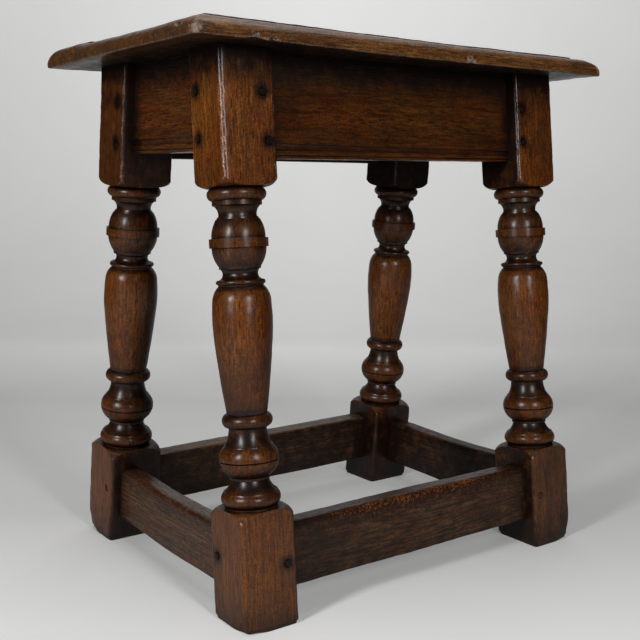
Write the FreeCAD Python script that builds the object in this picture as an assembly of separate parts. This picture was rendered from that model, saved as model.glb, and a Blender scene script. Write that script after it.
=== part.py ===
import FreeCAD, Part
import math
import os

# A joined stool of oak: four turned legs, raked front to back, are tied by four rails under the seat
# and four stretchers above the floor. All the joints are mortises and tenons held by wooden pegs.
# X runs along the stool, Y across it and Z up. The front is at -Y and the left end at -X.
# The origin is on the floor, under the middle of the seat. All sizes are in millimetres.

# The frame, measured over its legs
frame_width = 391.4
foot_depth = 312.8
head_depth = 223.9
frame_height = 472.0

# The legs: square blocks at both ends, with the turned stretch between them
leg_side = 52.5
leg_arris = 3.0
foot_round = 2.0
lower_block = 95.0
upper_block = 115.0
lower_shoulder_drop = 10.0
upper_shoulder_rise = 9.0
lower_neck_share = 0.860
upper_neck_share = 0.800

# The turning, from the lower block up. Each stretch ends at the last point of its row, and an arc
# passes through its first one. A point is a share of the turned height and of half the leg's side.
turning_shares = [
    ("base fillet", "line", [(0.005, 0.860), (0.005, 0.805)]),
    ("base ring", "arc", [(0.026, 0.963), (0.047, 0.884)]),
    ("ring fillet", "line", [(0.051, 0.872), (0.051, 0.834)]),
    ("base hollow", "arc", [(0.069, 0.682), (0.089, 0.597)]),
    ("waist fillet", "line", [(0.089, 0.650), (0.096, 0.650), (0.096, 0.618)]),
    ("lower bulb under its groove", "arc", [(0.118, 0.862), (0.145, 0.960)]),
    ("bulb groove", "line", [(0.147, 0.932), (0.149, 0.962)]),
    ("lower bulb over its groove", "arc", [(0.173, 0.925), (0.192, 0.794)]),
    ("bulb fillet", "line", [(0.195, 0.790), (0.195, 0.757)]),
    ("lower neck", "arc", [(0.217, 0.662), (0.249, 0.612)]),
    ("collar quirk", "line", [(0.249, 0.649)]),
    ("collar ring", "arc", [(0.271, 0.822), (0.293, 0.681)]),
    ("vase quirk", "line", [(0.293, 0.658)]),
    ("vase taper", "arc", [(0.390, 0.793), (0.500, 0.918)]),
    ("vase belly", "arc", [(0.590, 0.973), (0.650, 0.941)]),
    ("vase shoulder", "arc", [(0.677, 0.850), (0.692, 0.732)]),
    ("knife ring foot", "line", [(0.696, 0.736)]),
    ("knife ring", "arc", [(0.705, 0.802), (0.712, 0.712)]),
    ("knife ring quirk", "line", [(0.714, 0.656)]),
    ("middle cove", "arc", [(0.730, 0.572), (0.745, 0.636)]),
    ("cove fillet", "line", [(0.745, 0.676), (0.752, 0.676)]),
    ("upper bulb under its band", "arc", [(0.777, 0.814), (0.812, 0.885)]),
    ("bulb band", "line", [(0.812, 0.955), (0.841, 0.955), (0.841, 0.872)]),
    ("upper bulb over its band", "arc", [(0.877, 0.822), (0.901, 0.712)]),
    ("upper bulb fillet", "line", [(0.901, 0.678), (0.907, 0.670), (0.907, 0.630)]),
    ("top cove", "arc", [(0.929, 0.640), (0.944, 0.765)]),
    ("top fillet", "line", [(0.944, 0.802), (0.959, 0.802), (0.959, 0.828)]),
    ("top ring", "arc", [(0.979, 0.957), (0.998, 0.828)]),
]

# The rails under the seat, set back from the legs' outer faces. The back one is a little narrower.
rail_thickness = 22.0
long_rail_height = 92.0
back_rail_height = 89.5
long_rail_setback = 12.6
end_rail_height = 84.5
end_rail_setback = 10.5

# The run moulding along a rail's lower edge: shares of its depth, inwards, and of its height
moulding_height = 13.0
moulding_depth = 3.2
fillet_share = 0.40
moulding_shares = [
    ("ledge", "line", [(0.50, 1.00)]),
    ("hollow", "arc", [(0.88, 0.82), (0.80, 0.64)]),
    ("bead", "arc", [(0.08, 0.42), (0.75, 0.20)]),
    ("fillet", "line", [(fillet_share, 0.20), (fillet_share, 0.00)]),
]

# The stretchers, worn round along their upper edges by feet
long_stretcher_height = 53.5
long_stretcher_rise = 25.0
long_stretcher_thickness = 22.0
long_stretcher_setback = 10.3
end_stretcher_height = 50.0
end_stretcher_rise = 23.3
end_stretcher_thickness = 20.0
end_stretcher_setback = 9.3
worn_outer_arris = 5.0
worn_inner_arris = 3.0
lower_arris = 1.2

# The joints
tenon_thickness = 8.5
tenon_setback = 6.5
long_tenon = 22.0
end_tenon = 30.0
rail_tenon_head_drop = 15.0
rail_tenon_foot_rise = 4.0
stretcher_tenon_shoulder = 6.0
mortise_gap = 1.0

# The pegs: riven to eight sides, driven in tapering end first, their heads left a little proud
peg_width = 6.4
seat_peg_width = 8.4
peg_clearance = 0.1
peg_proud = 0.8
peg_head_share = 0.8
peg_tip_share = 0.75
peg_taper_share = 0.35
peg_sides = 8
long_peg_depth = 36.0
end_peg_depth = 34.0
seat_peg_depth = 28.0
seat_peg_offset = 38.0

# Where the pegs were bored, by eye: each joint's insets from its shoulder, the upper peg's drop from the
# leg's head, the lower peg's rise from the rail's foot, and how far a stretcher's peg sits over its middle.
left_upper_inset = 12.6
left_upper_drop = 39.0
left_lower_inset = 8.9
left_lower_rise = 13.5
right_upper_inset = 7.6
right_upper_drop = 38.5
right_lower_inset = 7.2
right_lower_rise = 21.2
end_upper_inset = 11.7
end_upper_drop = 34.8
end_lower_inset = 12.6
end_lower_rise = 9.5
long_stretcher_inset = 9.7
long_stretcher_peg_lift = -2.9
end_stretcher_inset = 10.6
end_stretcher_peg_lift = 5.4

# The seat board, hanging over the frame: a raised field inside a thumbnail moulding on all four edges
seat_end_overhang = 38.7
seat_side_overhang = 31.2
seat_thickness = 20.0
seat_edge_run = 21.0
seat_lower_arris_share = 0.07
seat_edge_shares = [
    ("lower arris", "arc", [(0.021, 0.025), (0.000, 0.080)]),
    ("nose", "line", [(0.000, 0.175)]),
    ("thumb tip", "arc", [(0.052, 0.430), (0.210, 0.620)]),
    ("thumb back", "arc", [(0.570, 0.820), (1.000, 0.900)]),
    ("quirk", "line", [(1.000, 1.000)]),
]

# How far a cutting tool runs past what it cuts
overrun = 2.0

# Places worked out from the sizes above
rake = math.atan2(foot_depth - head_depth, 2 * frame_height)
half_leg = leg_side / 2
leg_centre = frame_width / 2 - half_leg
leg_length = frame_height / math.cos(rake)
axis_foot = foot_depth / 2 - half_leg / math.cos(rake)
leg_slant = leg_side * math.tan(rake)
inner_face = frame_width / 2 - leg_side
turned_height = leg_length - lower_block - upper_block
seat_length = frame_width + 2 * seat_end_overhang
seat_width = head_depth + 2 * seat_side_overhang

V = FreeCAD.Vector
left_to_right = V(1, 0, 0)
front_to_back = V(0, 1, 0)

# The front legs, long rail and long stretcher lie in one raked plane. They are laid out standing
# upright about the leg axes, and this placement then leans them back.
front_plane = FreeCAD.Placement(V(0, -axis_foot, 0), FreeCAD.Rotation(left_to_right, -math.degrees(rake)))


def one_solid(shape):
    """The single solid that a cut or a join has left, with its split faces merged."""
    return shape.removeSplitter().Solids[0]


def leaned(shape):
    """A shape of the front frame, moved from its upright layout into the raked plane."""
    moved = shape.copy()
    moved.Placement = front_plane.multiply(moved.Placement)
    return moved


def mirrored(shape, direction):
    """The same piece on the other side of the stool's middle."""
    return shape.mirror(V(0, 0, 0), direction)


def outline(start, rows, point):
    """The edges of an outline that is written as rows of shares, and the point where they end."""
    edges = []
    here = start
    for name, kind, shares in rows:
        points = [point(first, second) for first, second in shares]
        if kind == "line":
            for there in points:
                edges.append(Part.LineSegment(here, there).toShape())
                here = there
        else:
            edges.append(Part.Arc(here, points[0], points[1]).toShape())
        here = points[-1]
    return edges, here


def lines(points):
    """Straight edges from point to point."""
    return [Part.LineSegment(a, b).toShape() for a, b in zip(points, points[1:])]


def rounded_section(point, width, height, radii):
    """A rectangle's face with one radius to each corner, from the lower outer one round by the inner side."""
    corners = [(0, 0), (width, 0), (width, height), (0, height)]
    ways = [(1, 0), (0, 1), (-1, 0), (0, -1)]
    edges = []
    first = None
    here = None
    for number, radius in enumerate(radii):
        x, z = corners[number]
        along_x, along_z = ways[number]
        back_x, back_z = ways[number - 1]
        inward = radius * (1 - math.sqrt(1 / 2))
        start = point(x - radius * back_x, z - radius * back_z)
        middle = point(x + inward * (along_x - back_x), z + inward * (along_z - back_z))
        end = point(x + radius * along_x, z + radius * along_z)
        if here is not None:
            edges.append(Part.LineSegment(here, start).toShape())
        else:
            first = start
        edges.append(Part.Arc(start, middle, end).toShape())
        here = end
    edges.append(Part.LineSegment(here, first).toShape())
    return Part.Face(Part.Wire(edges))


def rail_section(point, height, lean):
    """A rail's face in section, moulded along its lower outer edge. Its foot is level once it leans back."""
    def moulded(depth_share, height_share):
        return point(depth_share * moulding_depth, height_share * moulding_height)

    edges, foot = outline(point(0, moulding_height), moulding_shares, moulded)
    foot_lift = (rail_thickness - fillet_share * moulding_depth) * math.tan(lean)
    edges += lines([foot, point(rail_thickness, foot_lift), point(rail_thickness, height), point(0, height),
                    point(0, moulding_height)])
    return Part.Face(Part.Wire(edges))


def long_bar(section_face):
    """A rail or stretcher of the front frame, from shoulder to shoulder, in the upright layout."""
    return section_face.extrude(V(2 * inner_face, 0, 0))


def long_tongue(half_length, outer, bottom, height):
    """The tenons of both ends of a front rail or stretcher, as one bar through it. A longer one cuts mortises."""
    return Part.makeBox(2 * half_length, tenon_thickness, height,
                        V(-half_length, outer + tenon_setback, bottom))


def shoulder_half(height):
    """Half the distance between the inner faces of a front and a back leg, at a height above the floor."""
    return foot_depth / 2 - leg_side / math.cos(rake) - height * math.tan(rake)


def end_prism(reach, x, width, bottom, top):
    """What fills the space between two raked legs at one end of the stool, and reaches into both of them."""
    low = shoulder_half(bottom) + reach
    high = shoulder_half(top) + reach
    corners = [V(x, -low, bottom), V(x, low, bottom), V(x, high, top), V(x, -high, top), V(x, -low, bottom)]
    return Part.Face(Part.makePolygon(corners)).extrude(V(width, 0, 0))


def leg_outline():
    """Half the leg's section through its axis, as a closed face: the blocks run past the square's corners."""
    corner = leg_side / math.sqrt(2)
    reach = corner + overrun
    bottom = -leg_slant - overrun
    top = leg_length + leg_slant + overrun
    turned_top = leg_length - upper_block
    slope = math.sqrt(1 / 2)

    def turned(height_share, radius_share):
        return V(radius_share * half_leg, 0, lower_block + height_share * turned_height)

    def shoulder(neck_share, block_end, rise):
        neck = neck_share * half_leg
        middle = V(neck + (corner - neck) * slope, 0, block_end + rise * (1 - slope))
        return V(neck, 0, block_end), middle, V(corner, 0, block_end + rise)

    neck, middle, arris = shoulder(lower_neck_share, lower_block, -lower_shoulder_drop)
    edges = lines([V(0, 0, bottom), V(reach, 0, bottom), V(reach, 0, arris.z), arris])
    edges.append(Part.Arc(arris, middle, neck).toShape())
    turned_edges, end = outline(neck, turning_shares, turned)
    edges += turned_edges
    neck, middle, arris = shoulder(upper_neck_share, turned_top, upper_shoulder_rise)
    edges += lines([end, neck])
    edges.append(Part.Arc(neck, middle, arris).toShape())
    edges += lines([arris, V(reach, 0, arris.z), V(reach, 0, top), V(0, 0, top), V(0, 0, bottom)])
    return Part.Face(Part.Wire(edges))


def peg(width, length, start, direction):
    """A riven peg, from the middle of its head along a direction."""
    radius = width / 2
    stations = [(0, peg_head_share), (peg_proud, 1), (length * (1 - peg_taper_share), 1), (length, peg_tip_share)]
    rings = []
    for height, share in stations:
        corners = []
        for number in range(peg_sides + 1):
            angle = 2 * math.pi * (number + 1 / 2) / peg_sides
            corners.append(V(share * radius * math.cos(angle), share * radius * math.sin(angle), height))
        rings.append(corners)
    flats = [rings[0], rings[-1]]
    for below, above in zip(rings, rings[1:]):
        for side in range(peg_sides):
            flats.append([below[side], below[side + 1], above[side + 1], above[side], below[side]])
    shape = Part.Solid(Part.Shell([Part.Face(Part.makePolygon(flat)) for flat in flats]))
    shape.Placement = FreeCAD.Placement(start, FreeCAD.Rotation(V(0, 0, 1), direction))
    return shape


def bore(width, length, start, direction):
    """The hole for a peg, running a little past both of its ends."""
    past = direction * overrun
    return Part.makeCylinder(width / 2 + peg_clearance, length + 2 * overrun, start - past, direction)


# The heights of the front rail and stretcher are measured along the raked legs, those of the end ones
# straight up, and each outer face is measured from the middle of the legs.
long_rail_outer = long_rail_setback - half_leg
long_rail_bottom = leg_length - long_rail_height
long_rail_tenon_height = long_rail_height - rail_tenon_foot_rise - rail_tenon_head_drop
long_stretcher_outer = long_stretcher_setback - half_leg
long_stretcher_tenon_height = long_stretcher_height - 2 * stretcher_tenon_shoulder
end_rail_outer = end_rail_setback - frame_width / 2
end_rail_bottom = frame_height - end_rail_height
end_stretcher_outer = end_stretcher_setback - frame_width / 2


def along_leg(inset, level):
    """The height along a front leg of a peg in its outer face, from its height above the floor."""
    return (level + (half_leg - inset) * math.sin(rake)) / math.cos(rake)


# The pegs of one front leg, laid out as on the left one. Those of the end joints go through its outer face.
end_pegs = [
    ("end_rail_left_front_upper", end_upper_inset, leg_length - end_upper_drop),
    ("end_rail_left_front_lower", end_lower_inset,
     along_leg(end_lower_inset, end_rail_bottom + end_lower_rise)),
    ("end_stretcher_left_front", end_stretcher_inset,
     along_leg(end_stretcher_inset, end_stretcher_rise + end_stretcher_height / 2 + end_stretcher_peg_lift)),
]


def corner_pegs(upper_inset, upper_drop, lower_inset, lower_rise):
    """The pegs of a front leg by name, and the bores for them."""
    long_pegs = [
        ("long_rail_front_left_upper", upper_inset, leg_length - upper_drop),
        ("long_rail_front_left_lower", lower_inset, long_rail_bottom + lower_rise),
        ("long_stretcher_front_left", long_stretcher_inset,
         long_stretcher_rise + long_stretcher_height / 2 + long_stretcher_peg_lift),
    ]
    holes = []
    for name, inset, height in long_pegs:
        head = V(-inner_face - inset, -half_leg - peg_proud, height)
        holes.append((name, long_peg_depth, head, front_to_back))
    for name, inset, height in end_pegs:
        head = V(-frame_width / 2 - peg_proud, half_leg - inset, height)
        holes.append((name, end_peg_depth, head, left_to_right))
    pegs = {}
    bores = []
    for name, length, head, direction in holes:
        pegs["peg_" + name] = leaned(peg(peg_width, length, head, direction))
        bores.append(leaned(bore(peg_width, length, head, direction)))
    return pegs, bores


left_pegs, left_bores = corner_pegs(left_upper_inset, left_upper_drop, left_lower_inset, left_lower_rise)
right_pegs, right_bores = corner_pegs(right_upper_inset, right_upper_drop, right_lower_inset, right_lower_rise)

# A seat peg goes down through the board into the middle of the long rail's thickness.
rail_middle = long_rail_outer + rail_thickness / 2
rail_head = front_plane.multVec(V(0, rail_middle, leg_length))
seat_top = frame_height + seat_thickness
seat_peg_length = seat_thickness + seat_peg_depth
seat_peg_head = V(seat_peg_offset - inner_face, rail_head.y, seat_top)
down = V(0, 0, -1)
left_pegs["peg_seat_front_left"] = peg(seat_peg_width, seat_peg_length, seat_peg_head, down)
right_pegs["peg_seat_front_left"] = left_pegs["peg_seat_front_left"]
seat_bore = bore(seat_peg_width, seat_peg_length, seat_peg_head, down)

# The storey from the floor to the underside of the seat, which trims the raked pieces level.
storey = Part.makeBox(frame_width + 2 * overrun, foot_depth + 2 * overrun, frame_height,
                      V(-frame_width / 2 - overrun, -foot_depth / 2 - overrun, 0))

# The mortises, cut by the tenons' own shapes run a little deeper
long_mortises = [
    long_tongue(inner_face + long_tenon + mortise_gap, long_rail_outer,
                long_rail_bottom + rail_tenon_foot_rise, long_rail_tenon_height),
    long_tongue(inner_face + long_tenon + mortise_gap, long_stretcher_outer,
                long_stretcher_rise + stretcher_tenon_shoulder, long_stretcher_tenon_height),
]


def end_rail_tongue(reach):
    return end_prism(reach, end_rail_outer + tenon_setback, tenon_thickness,
                     end_rail_bottom + rail_tenon_foot_rise, frame_height - rail_tenon_head_drop)


def end_stretcher_tongue(reach):
    return end_prism(reach, end_stretcher_outer + tenon_setback, tenon_thickness,
                     end_stretcher_rise + stretcher_tenon_shoulder,
                     end_stretcher_rise + end_stretcher_height - stretcher_tenon_shoulder)


end_mortises = [end_rail_tongue(end_tenon + mortise_gap), end_stretcher_tongue(end_tenon + mortise_gap)]


def front_leg(joint_bores):
    """The leg at the front left corner, with its mortises and peg holes."""
    blank = Part.makeBox(leg_side, leg_side, leg_length + 2 * leg_slant, V(-half_leg, -half_leg, -leg_slant))
    arrises = [edge for edge in blank.Edges if edge.BoundBox.ZLength > leg_length]
    turning = leg_outline().revolve(V(0, 0, 0), V(0, 0, 1), 360)
    leg = blank.makeFillet(leg_arris, arrises).common(turning)
    leg.translate(V(-leg_centre, 0, 0))
    for mortise in long_mortises:
        leg = leg.cut(mortise)
    leg = leaned(leg).common(storey)
    foot = [edge for edge in leg.Edges if edge.BoundBox.ZMax < leg_arris / 2]
    leg = one_solid(leg).makeFillet(foot_round, foot)
    for tool in end_mortises + joint_bores:
        leg = leg.cut(tool)
    return one_solid(leg)


def pierced(shape, tools):
    """A piece with its peg holes bored."""
    for tool in tools:
        shape = shape.cut(tool)
    return one_solid(shape)


def long_bores():
    """The bores at both ends of a front rail or stretcher."""
    return left_bores + [mirrored(tool, left_to_right) for tool in right_bores]


def front_long_rail(rail_height):
    """A long rail at the front, with its tenons. Its tenons and their pegs don't follow its height."""
    bottom = leg_length - rail_height
    bar = long_bar(rail_section(lambda depth, height: V(-inner_face, long_rail_outer + depth, bottom + height),
                                rail_height + leg_slant, rake))
    tongue = long_tongue(inner_face + long_tenon, long_rail_outer,
                         long_rail_bottom + rail_tenon_foot_rise, long_rail_tenon_height)
    bores = long_bores() + [seat_bore, mirrored(seat_bore, left_to_right)]
    return pierced(leaned(bar.fuse(tongue)).common(storey), bores)


def front_long_stretcher():
    section = rounded_section(lambda depth, height: V(-inner_face, long_stretcher_outer + depth,
                                                      long_stretcher_rise + height),
                              long_stretcher_thickness, long_stretcher_height,
                              [lower_arris, lower_arris, worn_inner_arris, worn_outer_arris])
    tongue = long_tongue(inner_face + long_tenon, long_stretcher_outer,
                         long_stretcher_rise + stretcher_tenon_shoulder, long_stretcher_tenon_height)
    return pierced(leaned(long_bar(section).fuse(tongue)), long_bores())


def between_legs(section_face, outer, thickness, bottom, top, tongue):
    """An end rail or stretcher: a bar cut to the rake of the legs at both ends, with its tenons."""
    bar = section_face.extrude(V(0, foot_depth, 0))
    fitted = bar.common(end_prism(0, outer, thickness, bottom, top))
    bores = left_bores + [mirrored(tool, front_to_back) for tool in left_bores]
    return pierced(fitted.fuse(tongue), bores)


def left_end_rail():
    section = rail_section(lambda depth, height: V(end_rail_outer + depth, -foot_depth / 2,
                                                   end_rail_bottom + height), end_rail_height, 0)
    return between_legs(section, end_rail_outer, rail_thickness, end_rail_bottom, frame_height,
                        end_rail_tongue(end_tenon))


def left_end_stretcher():
    section = rounded_section(lambda depth, height: V(end_stretcher_outer + depth, -foot_depth / 2,
                                                      end_stretcher_rise + height),
                              end_stretcher_thickness, end_stretcher_height,
                              [lower_arris, lower_arris, worn_inner_arris, worn_outer_arris])
    return between_legs(section, end_stretcher_outer, end_stretcher_thickness, end_stretcher_rise,
                        end_stretcher_rise + end_stretcher_height, end_stretcher_tongue(end_tenon))


def moulded_board(length, width, direction, across):
    """The seat's section over one of its sizes, extruded over the other."""
    def edge_point(inset_share, height_share):
        return direction * (inset_share * seat_edge_run - length / 2) + V(0, 0, frame_height + height_share
                                                                         * seat_thickness)

    start = edge_point(seat_lower_arris_share, 0)
    near, field = outline(start, seat_edge_shares, edge_point)
    far = [mirrored(edge, direction) for edge in near]
    far_start = mirrored(Part.Vertex(start), direction).Point
    far_field = mirrored(Part.Vertex(field), direction).Point
    edges = near + far + lines([field, far_field]) + lines([start, far_start])
    face = Part.Face(Part.Wire(Part.sortEdges(edges)[0]))
    face.translate(across * (-width / 2))
    return face.extrude(across * width)


def seat_board():
    board = moulded_board(seat_length, seat_width, left_to_right, front_to_back).common(
        moulded_board(seat_width, seat_length, front_to_back, left_to_right))
    near_bores = [seat_bore, mirrored(seat_bore, front_to_back)]
    return pierced(board, near_bores + [mirrored(tool, left_to_right) for tool in near_bores])


# The corners are made for the front, and mirrored for the back. What the left and right ends have alike is
# made for the left end, and mirrored for the right one.
pieces = {"seat_board": seat_board()}
pieces["long_rail_front"] = front_long_rail(long_rail_height)
pieces["long_rail_back"] = mirrored(front_long_rail(back_rail_height), front_to_back)
pieces["end_rail_left"] = left_end_rail()
pieces["end_stretcher_left"] = left_end_stretcher()
for name in ["end_rail_left", "end_stretcher_left"]:
    pieces[name.replace("left", "right")] = mirrored(pieces[name], left_to_right)
corners = {"long_stretcher_front": front_long_stretcher(), "leg_front_left": front_leg(left_bores)}
corners.update(left_pegs)
corners["leg_front_right"] = mirrored(front_leg(right_bores), left_to_right)
for name, shape in right_pegs.items():
    corners[name.replace("left", "right")] = mirrored(shape, left_to_right)
for name, shape in corners.items():
    pieces[name] = shape
    pieces[name.replace("front", "back")] = mirrored(shape, front_to_back)

os.makedirs("parts", exist_ok=True)
for name, shape in pieces.items():
    shape.exportStep("parts/" + name + ".step")
    print(name, len(shape.Solids), "solid", round(shape.Volume), "mm3", "valid" if shape.isValid() else "broken")
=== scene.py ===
import math

import bmesh
import bpy
from mathutils import Euler, Matrix, Vector


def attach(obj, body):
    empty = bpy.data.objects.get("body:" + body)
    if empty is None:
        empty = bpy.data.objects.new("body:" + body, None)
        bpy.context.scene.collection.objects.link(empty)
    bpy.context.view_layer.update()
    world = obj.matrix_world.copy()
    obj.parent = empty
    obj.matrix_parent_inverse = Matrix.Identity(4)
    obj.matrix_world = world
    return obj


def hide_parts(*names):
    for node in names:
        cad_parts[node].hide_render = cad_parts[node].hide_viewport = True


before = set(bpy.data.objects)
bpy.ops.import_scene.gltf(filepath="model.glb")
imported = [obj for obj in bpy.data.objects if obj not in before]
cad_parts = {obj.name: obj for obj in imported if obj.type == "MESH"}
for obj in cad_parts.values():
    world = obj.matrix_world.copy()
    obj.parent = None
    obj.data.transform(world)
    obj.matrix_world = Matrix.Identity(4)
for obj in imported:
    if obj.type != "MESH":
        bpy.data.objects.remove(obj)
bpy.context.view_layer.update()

# The legs. Each one is a square stick of oak, turned on a lathe between its two blocks, where the tool has
# cut the corners to round shoulders. Front and back legs lean towards each other, and all are sawn level at
# floor and seat. Peg holes are bored in their blocks, and long use has worn the arrises and the feet round.
frame_width = 0.3914
foot_depth = 0.3128
head_depth = 0.2239
frame_height = 0.472
leg_side = 0.0525
leg_arris = 0.0034
lower_block = 0.095
upper_block = 0.115
lower_shoulder_drop = 0.010
upper_shoulder_rise = 0.009
lower_neck_share = 0.860
upper_neck_share = 0.800
rake = math.atan2(foot_depth - head_depth, 2 * frame_height)
half_leg = leg_side / 2
leg_centre = frame_width / 2 - half_leg
inner_face = frame_width / 2 - leg_side
leg_length = frame_height / math.cos(rake)
axis_foot = foot_depth / 2 - half_leg / math.cos(rake)
turned_height = leg_length - lower_block - upper_block

# How far the turning and the stick run past the finished leg, and how finely both are divided
turning_overrun = 0.012
stick_overrun = 2 * turning_overrun / 3
lathe_steps = 88
turning_step = 0.0013
shoulder_step = 0.0015
stick_step = 0.003
face_step = 0.0045

# The turning from the lower block up, as the outline's stretches: each point is a share of the turned
# height and of half the leg's side, and an arc passes through its first point.
turning_shares = [
    ("base fillet", "line", [(0.005, 0.860), (0.005, 0.805)]),
    ("base ring", "arc", [(0.026, 0.963), (0.047, 0.884)]),
    ("ring fillet", "line", [(0.051, 0.872), (0.051, 0.834)]),
    ("base hollow", "arc", [(0.069, 0.682), (0.089, 0.597)]),
    ("waist fillet", "line", [(0.089, 0.650), (0.096, 0.650), (0.096, 0.618)]),
    ("lower bulb under its groove", "arc", [(0.118, 0.862), (0.145, 0.960)]),
    ("bulb groove", "line", [(0.147, 0.922), (0.150, 0.962)]),
    ("lower bulb over its groove", "arc", [(0.173, 0.925), (0.192, 0.794)]),
    ("bulb fillet", "line", [(0.195, 0.790), (0.195, 0.757)]),
    ("lower neck", "arc", [(0.217, 0.662), (0.249, 0.612)]),
    ("collar quirk", "line", [(0.249, 0.649)]),
    ("collar ring", "arc", [(0.271, 0.822), (0.293, 0.681)]),
    ("vase quirk", "line", [(0.293, 0.658)]),
    ("vase taper", "arc", [(0.390, 0.793), (0.500, 0.918)]),
    ("vase belly", "arc", [(0.590, 0.973), (0.650, 0.941)]),
    ("vase shoulder", "arc", [(0.677, 0.850), (0.692, 0.732)]),
    ("knife ring foot", "line", [(0.696, 0.736)]),
    ("knife ring", "arc", [(0.705, 0.802), (0.712, 0.712)]),
    ("knife ring quirk", "line", [(0.714, 0.656)]),
    ("middle cove", "arc", [(0.730, 0.572), (0.745, 0.636)]),
    ("cove fillet", "line", [(0.745, 0.676), (0.752, 0.676)]),
    ("upper bulb under its band", "arc", [(0.777, 0.814), (0.812, 0.885)]),
    ("bulb band", "line", [(0.812, 0.955), (0.841, 0.955), (0.841, 0.872)]),
    ("upper bulb over its band", "arc", [(0.877, 0.822), (0.901, 0.712)]),
    ("upper bulb fillet", "line", [(0.901, 0.678), (0.907, 0.670), (0.907, 0.630)]),
    ("top cove", "arc", [(0.929, 0.640), (0.944, 0.765)]),
    ("top fillet", "line", [(0.944, 0.802), (0.959, 0.802), (0.959, 0.828)]),
    ("top ring", "arc", [(0.979, 0.957), (0.998, 0.828)]),
]

# The rake of the front frame: what is laid out upright about the leg axes is leant back by this placement.
# What is laid out at the front left is then mirrored to the right or to the back, or stays.
lean = Matrix.Translation((0, -axis_foot, 0)) @ Matrix.Rotation(-rake, 4, "X")
to_right = Matrix.Diagonal((-1, 1, 1, 1))
to_back = Matrix.Diagonal((1, -1, 1, 1))
as_laid = Matrix.Identity(4)


def start_alone():
    """Leaves nothing selected, before a new piece is made."""
    bpy.ops.object.select_all(action="DESELECT")


def take(piece):
    """Makes one piece the selected and the active one."""
    start_alone()
    piece.select_set(True)
    bpy.context.view_layer.objects.active = piece
    return piece


def choose(piece, kind, test):
    """Selects the vertices, edges or faces of a piece in edit mode that pass a test, and nothing else."""
    bpy.ops.mesh.select_mode(type={"verts": "VERT", "edges": "EDGE", "faces": "FACE"}[kind])
    bpy.ops.mesh.select_all(action="DESELECT")
    shape = bmesh.from_edit_mesh(piece.data)
    for element in getattr(shape, kind):
        element.select_set(test(element))
    bmesh.update_edit_mesh(piece.data)


def place(piece, placement):
    """Moves a piece's mesh by a placement, with its faces outwards and the object itself at the origin."""
    take(piece)
    piece.matrix_world = placement
    bpy.ops.object.transform_apply(location=True, rotation=True, scale=True)
    bpy.ops.object.mode_set(mode="EDIT")
    bpy.ops.mesh.select_all(action="SELECT")
    bpy.ops.mesh.normals_make_consistent(inside=False)
    bpy.ops.object.mode_set(mode="OBJECT")
    return piece


def bar(name, low, high):
    """A sawn bar between its lowest and highest corners."""
    start_alone()
    low = Vector(low)
    high = Vector(high)
    bpy.ops.mesh.primitive_cube_add(size=1, location=(low + high) / 2)
    piece = bpy.context.object
    piece.name = name
    piece.scale = high - low
    bpy.ops.object.transform_apply(location=True, rotation=True, scale=True)
    return piece


def runs_along(edge, axis):
    """Whether an edge lies along one of the axes."""
    direction = (edge.verts[1].co - edge.verts[0].co).normalized()
    return abs(direction[axis]) > 0.999


def divide(piece, axis, spacing):
    """Divides all the edges that lie along an axis, to about a spacing, and the faces between them."""
    take(piece)
    bpy.ops.object.mode_set(mode="EDIT")
    choose(piece, "edges", lambda edge: runs_along(edge, axis) and edge.calc_length() > 1.5 * spacing)
    shape = bmesh.from_edit_mesh(piece.data)
    longest = max(edge.calc_length() for edge in shape.edges if edge.select)
    bpy.ops.mesh.subdivide(number_cuts=max(1, round(longest / spacing) - 1))
    bpy.ops.object.mode_set(mode="OBJECT")


def round_arrises(piece, axis, radius, test=lambda middle: True):
    """Bevels those of a bar's edges along an axis whose middles pass a test."""
    take(piece)
    bpy.ops.object.mode_set(mode="EDIT")
    choose(piece, "edges", lambda edge: runs_along(edge, axis) and
           test((edge.verts[0].co + edge.verts[1].co) / 2))
    bpy.ops.mesh.bevel(offset=radius, offset_type="OFFSET", segments=4, affect="EDGES")
    bpy.ops.object.mode_set(mode="OBJECT")


def round_stretch(start, middle, end, spacing):
    """Points along the circle through three points, from the first one to the last, without the first."""
    one = middle - start
    two = end - start
    cross = 2 * (one.x * two.y - one.y * two.x)
    offset = Vector((two.y * one.length_squared - one.y * two.length_squared,
                     one.x * two.length_squared - two.x * one.length_squared)) / cross
    centre = start + offset
    first, via, last = (math.atan2(p.y - centre.y, p.x - centre.x) for p in (start, middle, end))
    full = 2 * math.pi
    sweep = (last - first) % full
    if (via - first) % full > sweep:
        sweep -= full
    steps = max(3, round(abs(sweep) * offset.length / spacing))
    angles = [first + sweep * (number + 1) / steps for number in range(steps)]
    return [centre + offset.length * Vector((math.cos(a), math.sin(a))) for a in angles]


def outline(start, rows, point, spacing):
    """The points of an outline written as rows of shares, from its start, with its arcs divided."""
    points = [start]
    for name, kind, shares in rows:
        corners = [point(first, second) for first, second in shares]
        if kind == "line":
            points += corners
        else:
            points += round_stretch(points[-1], corners[0], corners[1], spacing)
    return points


def drawn_line(name, points):
    """A line drawn point by point: a plane shrunk to one vertex, which is then extruded along."""
    start_alone()
    bpy.ops.mesh.primitive_plane_add(size=0.001, location=points[0])
    piece = bpy.context.object
    piece.name = name
    bpy.ops.object.transform_apply(location=True, rotation=True, scale=True)
    bpy.ops.object.mode_set(mode="EDIT")
    bpy.ops.mesh.select_mode(type="VERT")
    bpy.ops.mesh.select_all(action="SELECT")
    bpy.ops.mesh.merge(type="CENTER")
    for here, there in zip(points, points[1:]):
        bpy.ops.mesh.extrude_vertices_move(TRANSFORM_OT_translate={"value": there - here})
    bpy.ops.object.mode_set(mode="OBJECT")
    return piece


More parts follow.
